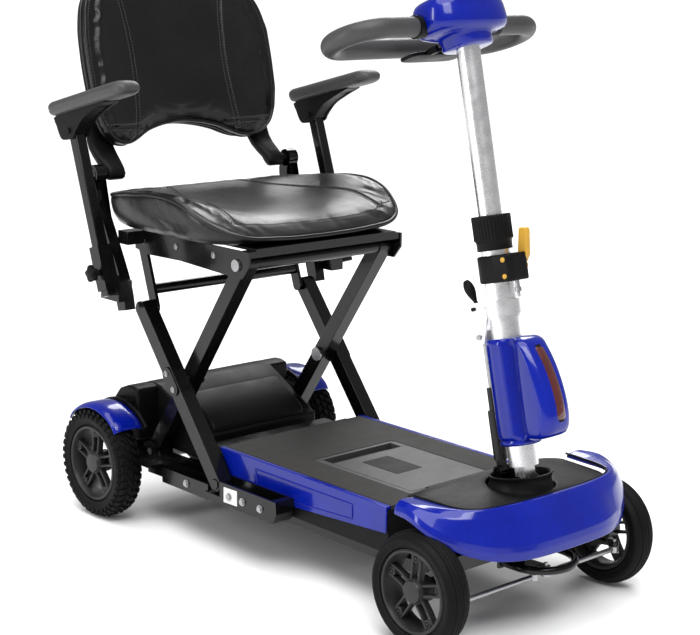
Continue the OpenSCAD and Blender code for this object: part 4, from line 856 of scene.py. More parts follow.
# %% Collar, clamp and lever
def flutes(t, r):
    return np.where((r > 27.4) & (r < 28.9), 0.55 * np.cos(36 * t), 0.0)


collar = [(0, 343), (26, 343), (26.2, 355), (27.2, 357), (28.6, 359), (28.6, 361), (28.4, 363), (28.4, 386),
          (28.6, 388), (29, 390), (28.6, 393), (27, 394.2), (18.2, 394.2), (18, 393), (0, 393)]
stand_for("tiller_collar", [turned(collar, n=216, wave=flutes)])


def clamp_section(k):
    """Circle of radius 28 round the tube running out into the boss at the front, shrunk by k."""
    t = np.linspace(0, PI, 36)
    arc = np.stack([(28 - k) * np.cos(t), (28 - k) * np.sin(t)], 1)
    front = np.array([(-28 + k, -16), (-22 + k, -40), (-17, -44.5 + k), (15, -44.5 + k), (21 - k, -40),
                      (28 - k, -16)])
    return even(np.concatenate([arc, front, arc[:1]]), 90, closed=True)


parts = [loft([(296, clamp_section(3)), (296.6, clamp_section(1.2)), (298, clamp_section(0.2)), (300, clamp_section(0)),
               (332, clamp_section(0)), (334, clamp_section(0.2)), (335.4, clamp_section(1.2)),
               (336, clamp_section(3))])]
screw = [(0, 272), (2.2, 272), (2.6, 273), (2.6, 279), (5, 280), (5, 286), (3.4, 286.5), (3.4, 297), (0, 297)]
stand_for("tiller_clamp", parts, sharp=math.radians(30))
detail("clamp_screw", "tiller_clamp", [turned(screw, cy=-35, n=24)], slot="steel")
for k, (cy, s) in enumerate(((-34, 328), (-34, 304))):
    t = np.linspace(0, 2 * PI, 20, endpoint=False)[:, None]
    p = np.array([(0, -24.5), (3.6, -24.5), (3.6, -21), (0, -21)])[None]
    cap = grid(up_tube(p[..., 1] + 0 * t, cy + p[..., 0] * np.cos(t), s + p[..., 0] * np.sin(t)), close_rows=True)
    detail(f"clamp_bolt_{k}", "tiller_clamp", [cap], material=FINISH["lever_yellow"], slot="lever_yellow")
lever = np.array([(-40, 322), (-32, 313), (-26, 322), (-37, 368), (-38.5, 371), (-50, 369.5), (-51, 366), (-46, 330)])
X = np.array([14.5, 14.5, 24, 24])[:, None]
line = even(np.concatenate([lever, lever[:1]]), 48, closed=True)
mid = line.mean(0)
Y = np.stack([np.full(48, mid[0]), line[:, 0], line[:, 0], np.full(48, mid[0])])
S = np.stack([np.full(48, mid[1]), line[:, 1], line[:, 1], np.full(48, mid[1])])
t = np.linspace(0, 2 * PI, 24, endpoint=False)[:, None]
p = np.array([(0, -18), (4, -18), (4, 24), (0, 24)])[None]
pin = grid(up_tube(p[..., 1] + 0 * t, -36 + p[..., 0] * np.cos(t), 316 + p[..., 0] * np.sin(t)), close_rows=True)
stand_for("clamp_lever", [grid(up_tube(X, Y, S), close_cols=True), pin], bevel=0.0012)

# %% Latch lever with a pear-shaped knob
def pear(u):
    """Knob radius along its length u: a narrow neck that swells to 9 mm and closes."""
    return 3.2 + 6.6 * np.sin(PI * np.clip((u - 0.12) / 0.88, 0, 1)) ** 0.9 * (0.35 + 0.65 * u)


u = np.linspace(0, 1, 26)
tilt = math.radians(24)
knob_line = np.stack([pear(u) * (u < 1), 8 + 40 * u], 1)
t = np.linspace(0, 2 * PI, 36, endpoint=False)[:, None]
r, q = knob_line[None, :, 0], np.concatenate([knob_line[:, 1]])[None]
q = np.concatenate([q[:, :1], q, q[:, -1:]], 1)
r = np.concatenate([0 * r[:, :1], r, 0 * r[:, -1:]], 1)
x, y = r * np.cos(t), r * np.sin(t)
knob = grid(up_tube(x, 49 + y * math.cos(tilt) + q * math.sin(tilt), 260 + q * math.cos(tilt) - y * math.sin(tilt)),
            close_rows=True)
p = np.array([(0, -14), (3, -14), (3, 14), (0, 14)])[None]
pin = grid(up_tube(p[..., 1] + 0 * t, 49 + p[..., 0] * np.cos(t), 260 + p[..., 0] * np.sin(t)), close_rows=True)
boss = np.array([(0, -5), (7, -5), (7, 5), (0, 5)])[None]
boss = grid(up_tube(boss[..., 1] + 0 * t, 49 + boss[..., 0] * np.cos(t), 260 + boss[..., 0] * np.sin(t)),
            close_rows=True)
stand_for("latch_lever", [knob, pin, boss])

# %% Shroud with its lamp
def shroud_front(s):
    """Front reach of the pod up the tube, from the smooth line through its measured places."""
    line = smooth_line([(66, 62), (70, 74), (82, 83), (106, 86), (138, 82), (172, 72), (200, 58), (210, 50),
                        (214, 42)], 200)
    return np.interp(s, line[:, 0], line[:, 1])


def strut_slot(o):
    """Rider's side kept ahead of y = 19.5 over the middle 27 mm, where the strut swings in as the tiller folds."""
    return np.stack([o[:, 0], np.minimum(o[:, 1], 19.5 + 1.5 * np.maximum(np.abs(o[:, 0]) - 13.5, 0))], 1)


def shroud_section(s, n=96):
    """Tube sleeve of radius 32 behind, and a narrower pod ahead that is drawn in at a waist where the two meet."""
    f = float(shroud_front(s))
    k = min(1.0, math.sqrt(max(0.0, (s - 65.5) / 7)), math.sqrt(max(0.0, (214.5 - s) / 9)))
    half = 28.5 * (0.72 + 0.28 * k)
    deep = 14.5 + 6 * (1 - k)
    right = [(28.5, -15), (deep + 3, -23.5), (deep, -28.5), (half * 0.86, -36), (half, -(30 + f) * 0.54),
             (half * 0.97, -f * 0.86), (half * 0.62, -f * 0.975), (0, -f)]
    back = [(0, 23.5), (18, 23.3), (26, 19.5), (32, 6), (31.6, -6)]
    half_line = np.array(back + right)
    return strut_slot(smooth_line(np.concatenate([half_line, (half_line * [-1, 1])[-2:0:-1]]), n, closed=True))


heights = np.concatenate([[65.6, 66.4, 68, 71, 75], np.linspace(80, 200, 25), [205, 209, 212, 213.6, 214.3]])
ends = {s: 0.9 + 0.1 * min(1, (s - 65) / 4, (215 - s) / 4) for s in heights}
body = [(s, shroud_section(s) * (ends[s] if min(s - 65, 215 - s) < 4 else 1)) for s in heights]
ring_line = [(27, 57.5), (29.5, 58.2), (30.6, 60), (30.6, 63), (29.6, 65), (29.2, 67)]
ring_body = loft([(z, strut_slot(oval(r, r, 96))) for r, z in ring_line])
stand_for("tiller_shroud", [loft(body), ring_body], sharp=math.radians(70))


def lens_strip(grow, lift):
    """A rounded window on the pod's front: its outline follows the front line, 30 mm wide and 104 mm long."""
    low, high = 92 - grow, 198 + grow
    s = np.linspace(low, high, 44)
    v = np.linspace(-1, 1, 17)[None]
    u = np.clip(np.minimum(s - low + 0.6, high + 0.6 - s) / 15, 0, 1)
    half = (15.5 + grow) * np.sqrt(1 - (1 - u) ** 2)[:, None]
    f = shroud_front(s)[:, None]
    y = -f - lift + 5.6 * np.abs(half * v / 16) ** 2.4
    P = up_tube(half * v, y, s[:, None])
    Q = up_tube(half * v, y + 7, s[:, None])
    return grid(np.concatenate([P, Q[:, ::-1]], 1), close_cols=True)


stand_for("tiller_lens", [lens_strip(0, 1.0)], sharp=0)
detail("lens_surround", "tiller_shroud", [lens_strip(3.2, 0.5)], slot="black_plastic", sharp=0)

# %% Boot round the tiller's foot
def boot_skin(n=120):
    """Turned about the column: radius falls from a 64 mm skirt to a 43 mm neck as (1 - height)^2.4, then a rolled lip;
    the lip stands at 225 in front and 208 at the rider's side."""
    t = np.linspace(0, 2 * PI, n, endpoint=False)[:, None]
    top = 216.0 - 7.5 * np.sin(t)
    low = 184.5
    k = np.linspace(0, 1, 22)[None]
    skirt_r = 44.5 + 17 * (1 - k) ** 2.4 + 3.2 * k**8
    lip_r = np.array([[47.4, 46, 44.4, 43, 42, 41.5, 39]])
    r = np.concatenate([np.array([[40, 58, 60.5]]) + 0 * t, skirt_r + 0 * t, lip_r + 0 * t], 1)
    rise = low + (top - low) * k
    z = np.concatenate([np.array([[178.5, 178.2, 181]]) + 0 * t, rise,
                        top + np.array([[1.2, 1.6, 1.2, 0, -6]]), np.array([[190, 181.5]]) + 0 * t], 1)
    c = spot(0, 752, 0)
    return grid(np.stack([r / 1000 * np.cos(t), c[1] + r / 1000 * np.sin(t), z / 1000], -1), True, True)


stand_for("tiller_boot", [boot_skin()], sharp=math.radians(50))

# %% Head pod, dial and dash
def pod_section(k, drop=0.0):
    o = oval(75 * k, 48 * k, 96, 2.7)
    return o + [0, 4 + drop]


neck_rows = [(-17.8, 35, 31, 2.6, 2), (-16, 36.6, 32.6, 2.6, 2), (-6, 37, 33, 2.6, 2), (-1, 40, 34.5, 2.6, 2),
             (2, 52, 38, 2.6, 3), (5, 66, 44, 2.7, 4)]
neck = [(h, oval(a, b, 96, p) + [0, y]) for h, a, b, p, y in neck_rows]
pod = neck + [(9, pod_section(0.965)), (15, pod_section(0.995)), (24, pod_section(1.0)), (38, pod_section(0.985)),
              (46, pod_section(0.95)), (51, pod_section(0.9)), (53.6, pod_section(0.84)), (53.8, pod_section(0.80)),
              (52.4, pod_section(0.785)), (52.2, pod_section(0.77))]
stand_for("head_pod", [loft(pod, at_head)], sharp=math.radians(50))
dash = [(51, pod_section(0.77)), (53.2, pod_section(0.768)), (54.2, pod_section(0.75)), (54.6, pod_section(0.70))]
detail("dash_panel", "head_pod", [loft(dash, at_head)], slot="black_plastic", sharp=math.radians(50))
window = oval(15, 7, 40, 5)
detail("charge_window", "head_pod", [loft([(54, window + [-36, 10]), (55.4, window + [-36, 10]),
                                            (55.8, window * 0.93 + [-36, 10])], at_head)], slot="grey_plastic")
lights = [loft([(55, oval(1.7, 3.2, 16, 4) + [-46 + 5 * k, 10]), (56.3, oval(1.7, 3.2, 16, 4) + [-46 + 5 * k, 10])],
               at_head) for k in range(5)]
detail("charge_lights", "head_pod", lights, slot="cell_green")
switch = [loft([(h, oval(r, r, n) + [36, 10]) for h, r in rows], at_head)
          for n, rows in ((40, [(54, 7), (57, 7), (57.6, 6)]), (24, [(57, 3), (58.5, 3), (59, 2.4)]))]
detail("horn_button", "head_pod", switch, slot="grey_plastic")
dial_line = [(0, 51), (4, 51), (4, 56.6), (15, 56.8), (15, 58), (14.2, 60), (13.2, 66.5), (12.2, 68.2), (0, 68.5)]
dial = turned(dial_line, at_head, cy=8, n=120,
              wave=lambda t, r: np.where((r > 12.5) & (r < 14.9), 0.5 * np.cos(20 * t), 0))
stand_for("speed_dial", [dial])
print("head made")

# %% Handlebar loop and paddle
side_arc = np.linspace(-PI / 2, PI / 2, 40)
bend = np.stack([135 + 50 * np.cos(side_arc), 67 + 50 * np.sin(side_arc)], 1)
half_loop = np.concatenate([[[58, 17], [90, 17], [120, 17]], bend, [[100, 117], [50, 117]]])
loop_xy = even(np.concatenate([half_loop, (half_loop * [-1, 1])[::-1]]), 200)
loop_path = at_head(loop_xy[:, 0], loop_xy[:, 1], 20.0)
tube = sweep(loop_path, oval(0.0149, 0.0149, 40), up=at_head(0, 0, 1) - at_head(0, 0, 0))
cuff = [sweep(at_head(np.linspace(s * 68, s * 84, 12), np.full(12, 17.0), 20.0), oval(0.0168, 0.0168, 36),
              up=at_head(0, 0, 1) - at_head(0, 0, 0)) for s in (-1, 1)]
stand_for("handlebar_loop", [tube], sharp=math.radians(60))
detail("loop_cuffs", "handlebar_loop", cuff, slot="black_plastic")
blade = [(-10, 0.93), (-9.6, 0.97), (-8.6, 1.0), (-5.4, 1.0), (-4.4, 0.97), (-4, 0.93)]
outline = oval(56, 19, 90, 5) + [0, 75]
lugs = []
for x0 in (-30, 24):
    p = np.array([(36, -12), (36, -2), (50, -2), (60, -4), (60, -9.5), (50, -12)], float)
    X = np.array([x0, x0, x0 + 6, x0 + 6])[:, None]
    m = p.mean(0)
    Y, Z = (np.stack([np.full(6, m[k]), p[:, k], p[:, k], np.full(6, m[k])]) for k in (0, 1))
    lugs.append(grid(at_head(X, Y, Z), close_cols=True))
t = np.linspace(0, 2 * PI, 20, endpoint=False)[:, None]
p = np.array([(0, -26), (3, -26), (3, 26), (0, 26)])[None]
lugs.append(grid(at_head(p[..., 1] + 0 * t, 42 + p[..., 0] * np.cos(t), -7 + p[..., 0] * np.sin(t)), close_rows=True))
stand_for("throttle_paddle", [loft([(s, (outline - [0, 75]) * k + [0, 75]) for s, k in blade], at_head)] + lugs,
          sharp=math.radians(30))

# %% [markdown]
# ## The deck
# Blue side panels with a recessed field, a ribbed mat, and the battery's lid with its grip. Blank plates stand where
# a maker would put its labels.

# %% Deck panels, lid and plates
panel_line = [(236, 166.6), (633.5, 166.6), (633.5, 126), (404, 111.4), (279, 105.4)]
field = [(330, 152), (560, 152), (560, 129), (404, 120), (336, 117)]
skins = both_sides(panel_line, 154.6, 157.9) + [q for x in (148,) for q in
        both_sides([(236, 162), (633.5, 162), (633.5, 166.8), (236, 166.8)], 147.8, 155)]
stand_for("deck_panels", skins, bevel=0.0015)
rims = []
for s in (-1, 1):
    q = np.array([spot(s * 158.0, d, z) for d, z in field + field[:1]])
    rims.append(sweep(even(q, 160, closed=True), oval(0.0011, 0.0016, 8), up=(1, 0, 0), closed=True))
detail("panel_beads", "deck_panels", rims, sharp=0)
lo, hi = (np.array(v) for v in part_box("battery_case"))
d0, d1 = (DATUM_Y - hi[1]) * 1000, (DATUM_Y - lo[1]) * 1000


def slab(x0, x1, da, db, z0, z1):
    q = np.array([spot(x, d, 0) for x, d in ((x0, da), (x1, da), (x1, db), (x0, db))])
    return prism(q, np.array([0, 0, z0 / 1000]), np.array([0, 0, z1 / 1000]))


low_z = lo[2] * 1000
case = [slab(-87, 87, d0, d1, low_z, 146), slab(-87, 87, d0 + 34, d1, 144, 166.8),
        slab(-87, 87, d0, d0 + 8, 144, 166.8),
        slab(-87, -75, d0 + 4, d0 + 38, 144, 166.8), slab(75, 87, d0 + 4, d0 + 38, 144, 166.8)]
stand_for("battery_case", case, bevel=0.0012)
detail("lid_inset", "battery_case", [slab(-78, 78, d0 + 42, d1 - 8, 166, 167.3)], slot="grey_plastic", bevel=0.0004)
detail("lid_plate", "battery_case", [slab(-36, 20, d0 + 60, d0 + 140, 167, 167.7)], slot="deck_black", bevel=0.0003)
detail("lid_handle", "battery_case", [slab(-60, 60, d0 + 14, d0 + 24, 152, 160)], slot="black_plastic", bevel=0.002)
blank = side_prism([(296, 96), (330, 97), (330, 122), (296, 121)], -196.2, -195.4)
detail("rail_plate", "side_rails", [blank, mirror(blank)], material=plate_white, slot="grey_plastic")
print("deck from", round(d0), "to", round(d1))

# %% [markdown]
# ## Leathercloth pads
# The seat and the backrest are foam under glossy leathercloth, sewn from panels with twin rows of stitching, with a
# welt round the edge. Each starts a little small, is remeshed evenly, and is blown up by the cloth solver with a cap
# on how far it moves. The seams are pressed in afterwards, since remeshing would lose them.

# %% Simulation and seams
def real_mesh(obj):
    """The object's mesh with its modifiers worked out, in place of its own."""
    obj.data = bpy.data.meshes.new_from_object(obj.evaluated_get(bpy.context.evaluated_depsgraph_get()))
    obj.modifiers.clear()


def coords(mesh):
    co = np.empty(len(mesh.vertices) * 3)
    mesh.vertices.foreach_get("co", co)
    return co.reshape(-1, 3)


def set_coords(mesh, co):
    mesh.vertices.foreach_set("co", np.asarray(co, float).ravel())
    mesh.update()


def blow_up(obj, voxel=0.0055, cap=0.009, pressure=4.0):
    """Even mesh, 20 frames of cloth under inner pressure with no gravity, then each move cut to the cap."""
    remesh = obj.modifiers.new("even", "REMESH")
    remesh.mode, remesh.voxel_size = "VOXEL", voxel
    real_mesh(obj)
    before = coords(obj.data)
    cloth = obj.modifiers.new("cloth", "CLOTH")
    cloth.settings.use_pressure, cloth.settings.uniform_pressure_force = True, pressure
    cloth.settings.effector_weights.gravity = 0.0
    cloth.settings.tension_stiffness = cloth.settings.compression_stiffness = 25
    for number in range(1, 21):
        bpy.context.scene.frame_set(number)
    moved = coords(obj.evaluated_get(bpy.context.evaluated_depsgraph_get()).data) - before
    far = np.linalg.norm(moved, axis=1, keepdims=True)
    obj.modifiers.clear()
    bpy.context.scene.frame_set(1)
    set_coords(obj.data, before + moved * np.minimum(1, cap / np.maximum(far, 1e-9)))
    print(obj.name, "moved up to", round(float(far.max() * 1000), 1), "mm, capped at", cap * 1000)
    smooth = obj.modifiers.new("smooth", "SUBSURF")
    smooth.levels = smooth.render_levels = 1
    real_mesh(obj)
    obj.data.shade_smooth()


def normals(mesh):
    n = np.empty(len(mesh.vertices) * 3)
    mesh.vertices.foreach_get("normal", n)
    return n.reshape(-1, 3)


def near_line(co, line):
    """Distance of each point to the nearest place of a polyline given closely enough."""
    best = np.full(len(co), 9.0)
    for chunk in np.array_split(line, max(1, len(line) // 40)):
        best = np.minimum(best, np.sqrt(((co[:, None] - chunk[None]) ** 2).sum(-1).min(1)))
    return best


def press_seams(obj, lines, depth=0.0022, width=0.0032):
    """Moves points inwards by depth x exp(-(distance / width)^2) along each seam line."""
    co, n = coords(obj.data), normals(obj.data)
    for line in lines:
        lo, hi = line.min(0) - 0.02, line.max(0) + 0.02
        pick = np.all((co > lo) & (co < hi), axis=1)
        d = near_line(co[pick], line)
        co[pick] -= n[pick] * (depth * np.exp(-((d / width) ** 2)))[:, None]
    set_coords(obj.data, co)


def onto(obj, points, away=0.0, toward=None):
    """Nearest places on the pad's surface, and its normals there; toward gives a direction to look along instead."""
    from mathutils.bvhtree import BVHTree
    from mathutils import Vector
    tree = BVHTree.FromPolygons([tuple(v) for v in coords(obj.data)], [tuple(p.vertices) for p in obj.data.polygons])
    if toward is None:
        hits = [tree.find_nearest(Vector(p)) for p in points]
    else:
        hits = [tree.ray_cast(Vector(p), Vector(toward)) for p in points]
        hits = [h if h[0] is not None else tree.find_nearest(Vector(p)) for h, p in zip(hits, points)]
    at, n = np.array([h[0] for h in hits]), np.array([h[1] for h in hits])
    n = unit(sum(np.roll(n, k, 0) for k in (-2, -1, 0, 1, 2)))
    return at + n * away, n


def stitches(path, n, pitch=0.0052, length=0.0036, wide=0.0009, tall=0.0007):
    """A low six-sided dash every pitch along the path, lying on the surface with normal n."""
    L = np.concatenate([[0], np.cumsum(np.linalg.norm(np.diff(path, axis=0), axis=1))])
    s = np.arange(pitch, L[-1] - pitch, pitch)
    c = np.stack([np.interp(s, L, path[:, k]) for k in range(3)], 1)
    t = unit(np.stack([np.interp(s + 0.001, L, path[:, k]) for k in range(3)], 1) - c)
    up = unit(np.stack([np.interp(s, L, n[:, k]) for k in range(3)], 1))
    side = unit(np.cross(t, up))
    a = np.array([-0.5, -0.3, 0.3, 0.5]) * length
    k = np.array([0.3, 1, 1, 0.3])
    ang = np.linspace(0, 2 * PI, 6, endpoint=False)
    ring = (c[:, None, None] + a[None, :, None, None] * t[:, None, None]
            + (k[:, None] * np.cos(ang) * wide)[None, ..., None] * side[:, None, None]
            + (k[:, None] * np.sin(ang) * tall)[None, ..., None] * up[:, None, None])
    m = len(s)
    i, j = np.meshgrid(np.arange(3), np.arange(6), indexing="ij")
    F = np.stack([i * 6 + j, (i + 1) * 6 + j, (i + 1) * 6 + (j + 1) % 6, i * 6 + (j + 1) % 6], -1).reshape(-1, 4)
    caps = np.array([[0, 1, 2, 3], [3, 4, 5, 0], [18, 21, 20, 19], [21, 18, 23, 22]])
    F = np.concatenate([F, caps])
    return ring.reshape(-1, 3), (F[None] + 24 * np.arange(m)[:, None, None]).reshape(-1, 4)


def seam_rows(obj, line, gap, toward=None, pitch=0.0052):
    """Two rows of stitches, gap either side of a seam line on the pad."""
    at, n = onto(obj, line, 0.0003, toward)
    side = unit(np.cross(np.gradient(at, axis=0), n))
    out = []
    for k in (-gap, gap):
        row, m = onto(obj, at + k * side, 0.0003)
        out.append(stitches(row, m, pitch))
    return out


# %% [markdown]
# ## The seat
# The seat is a saddle: high at the sides and back, falling to a low front edge, with a shell-like skirt below the
# welt. Its outline is worked out in polar steps from the middle.

# %% Seat shape
def seat_edge(n):
    """Plan line of the seat, (x, d), from the cushion's own box, with broad front corners."""
    half = [(0, 326), (90, 325), (150, 317), (192, 293), (217, 248), (225, 185), (225, 110), (222, 50), (213, 0),
            (190, -30), (150, -40), (80, -41.5)]
    return smooth_line(half + [(0, -41.5)] + [(-x, d) for x, d in half[:0:-1]], n, closed=True)


SEAT_EDGE = smooth_line([(-60, 565), (-40, 567), (0, 571), (50, 580), (110, 588), (170, 590), (215, 581), (250, 562),
                         (280, 546), (304, 530), (322, 520), (335, 518)], 90)
SEAT_MID = smooth_line([(-60, 567), (-40, 565), (40, 554), (120, 547), (200, 545), (260, 540), (300, 529), (321, 517),
                        (330, 514)], 90)


def seat_rise(x, d):
    """Height of the top: from the middle line to the edge line by (|x| / half width there)^2.3."""
    half = seat_edge(400)
    right = half[half[:, 0] > 0]
    order = np.argsort(right[:, 1])
    wide = np.interp(d, right[order, 1], right[order, 0])
    k = np.clip(np.abs(x) / np.maximum(wide, 40), 0, 1) ** 2.3
    return (1 - k) * np.interp(d, SEAT_MID[:, 0], SEAT_MID[:, 1]) + k * np.interp(d, SEAT_EDGE[:, 0], SEAT_EDGE[:, 1])


def seat_surface(n=200, shrink=5.0):
    """Rings from the middle of the top out to the welt, down the skirt and in under the base."""
    edge = seat_edge(n)
    c = np.array([0.0, 141.0])
    edge = c + (edge - c) * (1 - shrink / 200)
    rings = []
    for r in (0.0, 0.12, 0.25, 0.38, 0.5, 0.62, 0.74, 0.84, 0.92, 0.97):
        q = c + (edge - c) * r
        rings.append(np.concatenate([q, (seat_rise(q[:, 0], q[:, 1]) - 4 + 2.5 * (1 - r**2))[:, None]], 1))
    top = seat_rise(edge[:, 0], edge[:, 1])
    low = np.maximum(np.minimum(top - 8, 509 + 0.0 * top), 507)
    for k, drop in ((1.0, 0.10), (1.0, 0.3), (0.985, 0.6), (0.95, 0.86), (0.90, 1.0), (0.5, 1.0), (0.0, 1.0)):
        q = c + (edge - c) * k
        rings.append(np.concatenate([q, (top - 3 + (low - top + 3) * drop)[:, None]], 1))
    P = np.stack(rings)
    return grid(spot_all(P), close_cols=True)


def spot_all(P):
    """Arrays of (x, d, z) in mm to the frame."""
    return np.stack([P[..., 0] / 1000, DATUM_Y - P[..., 1] / 1000, P[..., 2] / 1000], -1)


seat = stand_for("seat_cushion", [seat_surface()], sharp=0)
blow_up(seat, cap=0.004)
edge = seat_edge(260)
welt_xyz = np.concatenate([edge, (seat_rise(edge[:, 0], edge[:, 1]) - 5)[:, None]], 1)
welt = onto(seat, spot_all(welt_xyz), 0.0)[0]
t = np.linspace(0, 1, 60)
seams = []
for s in (-1, 1):
    x = s * np.interp(t, [0, 0.35, 0.7, 1], [70, 118, 148, 158])
    d = -30 + 334 * t
    seams.append(smooth_line(np.stack([x, d, seat_rise(x, d)], 1)[::6], 90))
back_line = [smooth_line(q, 40) for q in ([(-205, 18, 560), (-150, 8, 570), (-92, 3, 572)],
                                          [(92, 3, 572), (150, 8, 570), (205, 18, 560)])]
seams = [spot_all(q) for q in seams] + [spot_all(q) for q in back_line]
seams = [onto(seat, q + [0, 0, 0.05], 0, (0, 0, -1))[0] for q in seams]
press_seams(seat, seams + [welt], depth=0.0016)
rows = [r for q in seams for r in seam_rows(seat, q, 0.0045)]
inner_edge = np.concatenate([[0, 141] + (edge - [0, 141]) * 0.955, np.full((260, 1), 600)], 1)
ring_at, ring_n = onto(seat, spot_all(inner_edge), 0.0003, (0, 0, -1))
rows.append(stitches(ring_at, ring_n))
detail("seat_stitches", "seat_cushion", rows, material=thread, slot="leather", sharp=0)
even_welt = even(np.concatenate([welt, welt[:1]]), 300, closed=True)
even_welt = sum(np.roll(even_welt, k, 0) for k in range(-3, 4)) / 7
detail("seat_welt", "seat_cushion", [sweep(even_welt, oval(0.0036, 0.0036, 12), up=(0, 0, 1), closed=True)], sharp=0)
print("seat", coords(seat.data).min(0).round(3), coords(seat.data).max(0).round(3))

# %% [markdown]
# ## The backrest
# A curved pad with an arch in its lower edge, welted round front and back, on a thin shell.

# %% Backrest shape
def in_back(x, y, h):
    """The backrest's axes: origin on the hinge, y to the back, h up it, leaning 14 degrees."""
    a = math.radians(14)
    pivot = spot(0, *hinge_p)
    yy, zz = y * math.cos(a) + h * math.sin(a), -y * math.sin(a) + h * math.cos(a)
    return np.stack([x / 1000 + 0 * yy, pivot[1] + yy / 1000, pivot[2] + zz / 1000], -1)


def back_edge(n):
    half = [(0, 76.5), (40, 72.5), (80, 62.5), (112, 48.5), (138, 42), (165, 47), (188, 70), (199, 110), (203, 160),
            (203, 205), (198, 255), (180, 303), (144, 331), (90, 340.5)]
    return smooth_line(half + [(0, 342)] + [(-x, h) for x, h in half[:0:-1]], n, closed=True)


def sheet_y(x):
    """The bent sheet's middle: y = 36 - 520 + sqrt(520^2 - x^2)."""
    return 36 - 520 + np.sqrt(520.0**2 - x**2)


def back_surface(n=220, shrink=4.0):
    edge = back_edge(n)
    c = np.array([0.0, 195.0])
    edge = c + (edge - c) * (1 - shrink / 190)
    steps = [(0, 1), (0.15, 1), (0.3, 0.99), (0.45, 0.98), (0.6, 0.95), (0.72, 0.9), (0.83, 0.83), (0.92, 0.74),
             (0.97, 0.66), (1.0, 0.55)]
    r = np.array([q[0] for q in steps] + [q[0] for q in steps[::-1]])
    y = np.array([-16.5 * q[1] for q in steps] + [16.0 * min(1, q[1] + 0.12) for q in steps[::-1]])
    XH = c + (edge - c)[None] * r[:, None, None]
    Y = sheet_y(XH[..., 0]) + y[:, None]
    return grid(in_back(XH[..., 0], Y, XH[..., 1]), close_cols=True)


back = stand_for("backrest_cushion", [back_surface()], sharp=0)
blow_up(back, voxel=0.005, cap=0.0045)
edge = back_edge(300)
lean = in_back(0, 1, 0) - in_back(0, 0, 0)
lean = lean / np.linalg.norm(lean)
front_line = in_back(edge[:, 0], sheet_y(edge[:, 0]) - 12, edge[:, 1])
rear_line = in_back(edge[:, 0], sheet_y(edge[:, 0]) + 12, edge[:, 1])
h = np.linspace(48, 338, 70)
sides = [in_back(s * (99 + 17 * ((h - 185) / 150) ** 2), -60 + 0 * h, h) for s in (-1, 1)]
x = np.linspace(86, 196, 40)
lobes = [in_back(s * x, -60 + 0 * x, 74 + 0 * x) for s in (-1, 1)]
seams = [onto(back, q, 0, lean)[0] for q in sides + lobes]
press_seams(back, seams, depth=0.0018)
front_welt, rear_welt = onto(back, front_line)[0], onto(back, rear_line)[0]
press_seams(back, [front_welt, rear_welt], depth=0.0014)
rows = [r for q in seams for r in seam_rows(back, q, 0.0045)]
inner_edge = np.array([0, 195]) + (edge - [0, 195]) * 0.94
ring_at, ring_n = onto(back, in_back(inner_edge[:, 0], -60 + 0 * inner_edge[:, 0], inner_edge[:, 1]), 0.0003, lean)
rows.append(stitches(ring_at, ring_n))
detail("back_stitches", "backrest_cushion", rows, material=thread, slot="leather", sharp=0)
welts = []
for line in (front_welt, rear_welt):
    q = even(np.concatenate([line, line[:1]]), 320, closed=True)
    q = sum(np.roll(q, k, 0) for k in range(-2, 3)) / 5
    welts.append(sweep(q, oval(0.0030, 0.0030, 12), up=tuple(lean), closed=True))
detail("back_welts", "backrest_cushion", welts, sharp=0)
print("back", coords(back.data).min(0).round(3), coords(back.data).max(0).round(3))

# %% [markdown]
# ## Backrest shell and its arms
# A thin moulded shell closes the pad behind. From its two lower lobes broad glossy arms run down to the folding
# hinge. An arm could be carved from a block, but its section changes all the way, so it is a loft of rounded
# rectangles.

# %% Backrest shell and arms
def back_shell(n=200):
    """The pad's outline drawn in 10 mm, as rings from the middle out over the front face and back over the rear."""
    c = np.array([0.0, 195.0])
    edge = c + (back_edge(n) - c) * (1 - 10 / 190)
    r = np.array([0, 0.3, 0.6, 0.8, 0.92, 0.985, 1, 1, 0.985, 0.92, 0.8, 0.6, 0.3, 0])
    y = np.array([20.5] * 6 + [21.4, 25.4, 26.6, 27, 27, 27, 27, 27])
    XH = c + (edge - c)[None] * r[:, None, None]
    return grid(in_back(XH[..., 0], sheet_y(XH[..., 0]) + y[:, None], XH[..., 1]), close_cols=True)


# Height, middle across the width, half width, front and rear
arm_rows = [(117, 172, 15, 28, 32), (112, 172, 20, 28, 35.5), (98, 172, 23, 28, 39), (80, 172, 24, 28.5, 41),
            (60, 172, 24, 28, 42), (46, 172, 23.5, 24, 41), (32, 172, 22, 14, 36), (18, 173, 20.5, 1.5, 27),
            (6, 174, 19, -8, 17), (-4, 174.5, 18.5, -11, 12), (-10.5, 175, 17, -8.5, 7.5), (-13, 175, 13, -4, 3)]
shell = [back_shell()]
t = np.linspace(0, 2 * PI, 28, endpoint=False)[None]
for s in (-1, 1):
    rows_s = [(h, oval(w, (y1 - y0) / 2, 44, 3.2) + [x, (y0 + y1) / 2]) for h, x, w, y0, y1 in arm_rows]
    shell.append(loft(rows_s, lambda x, y, h, s=s: in_back(s * x, y, h)))
    along, reach = np.array([[188], [188], [223], [223.6], [223.6]]), np.array([[0], [6], [6], [5.2], [0]])
    shell.append(grid(in_back(s * along + 0 * t, reach * np.cos(t), reach * np.sin(t)), close_cols=True))
stand_for("backrest_shell", shell, sharp=math.radians(50))

# %% [markdown]
# ## Studio
# A wide pale floor, a pale sky that is dimmer as fill than it looks, a broad light overhead, and three large lights
# whose reflections draw the long highlights on paint and leathercloth. The camera stands ahead of the scooter, on
# the rider's right.

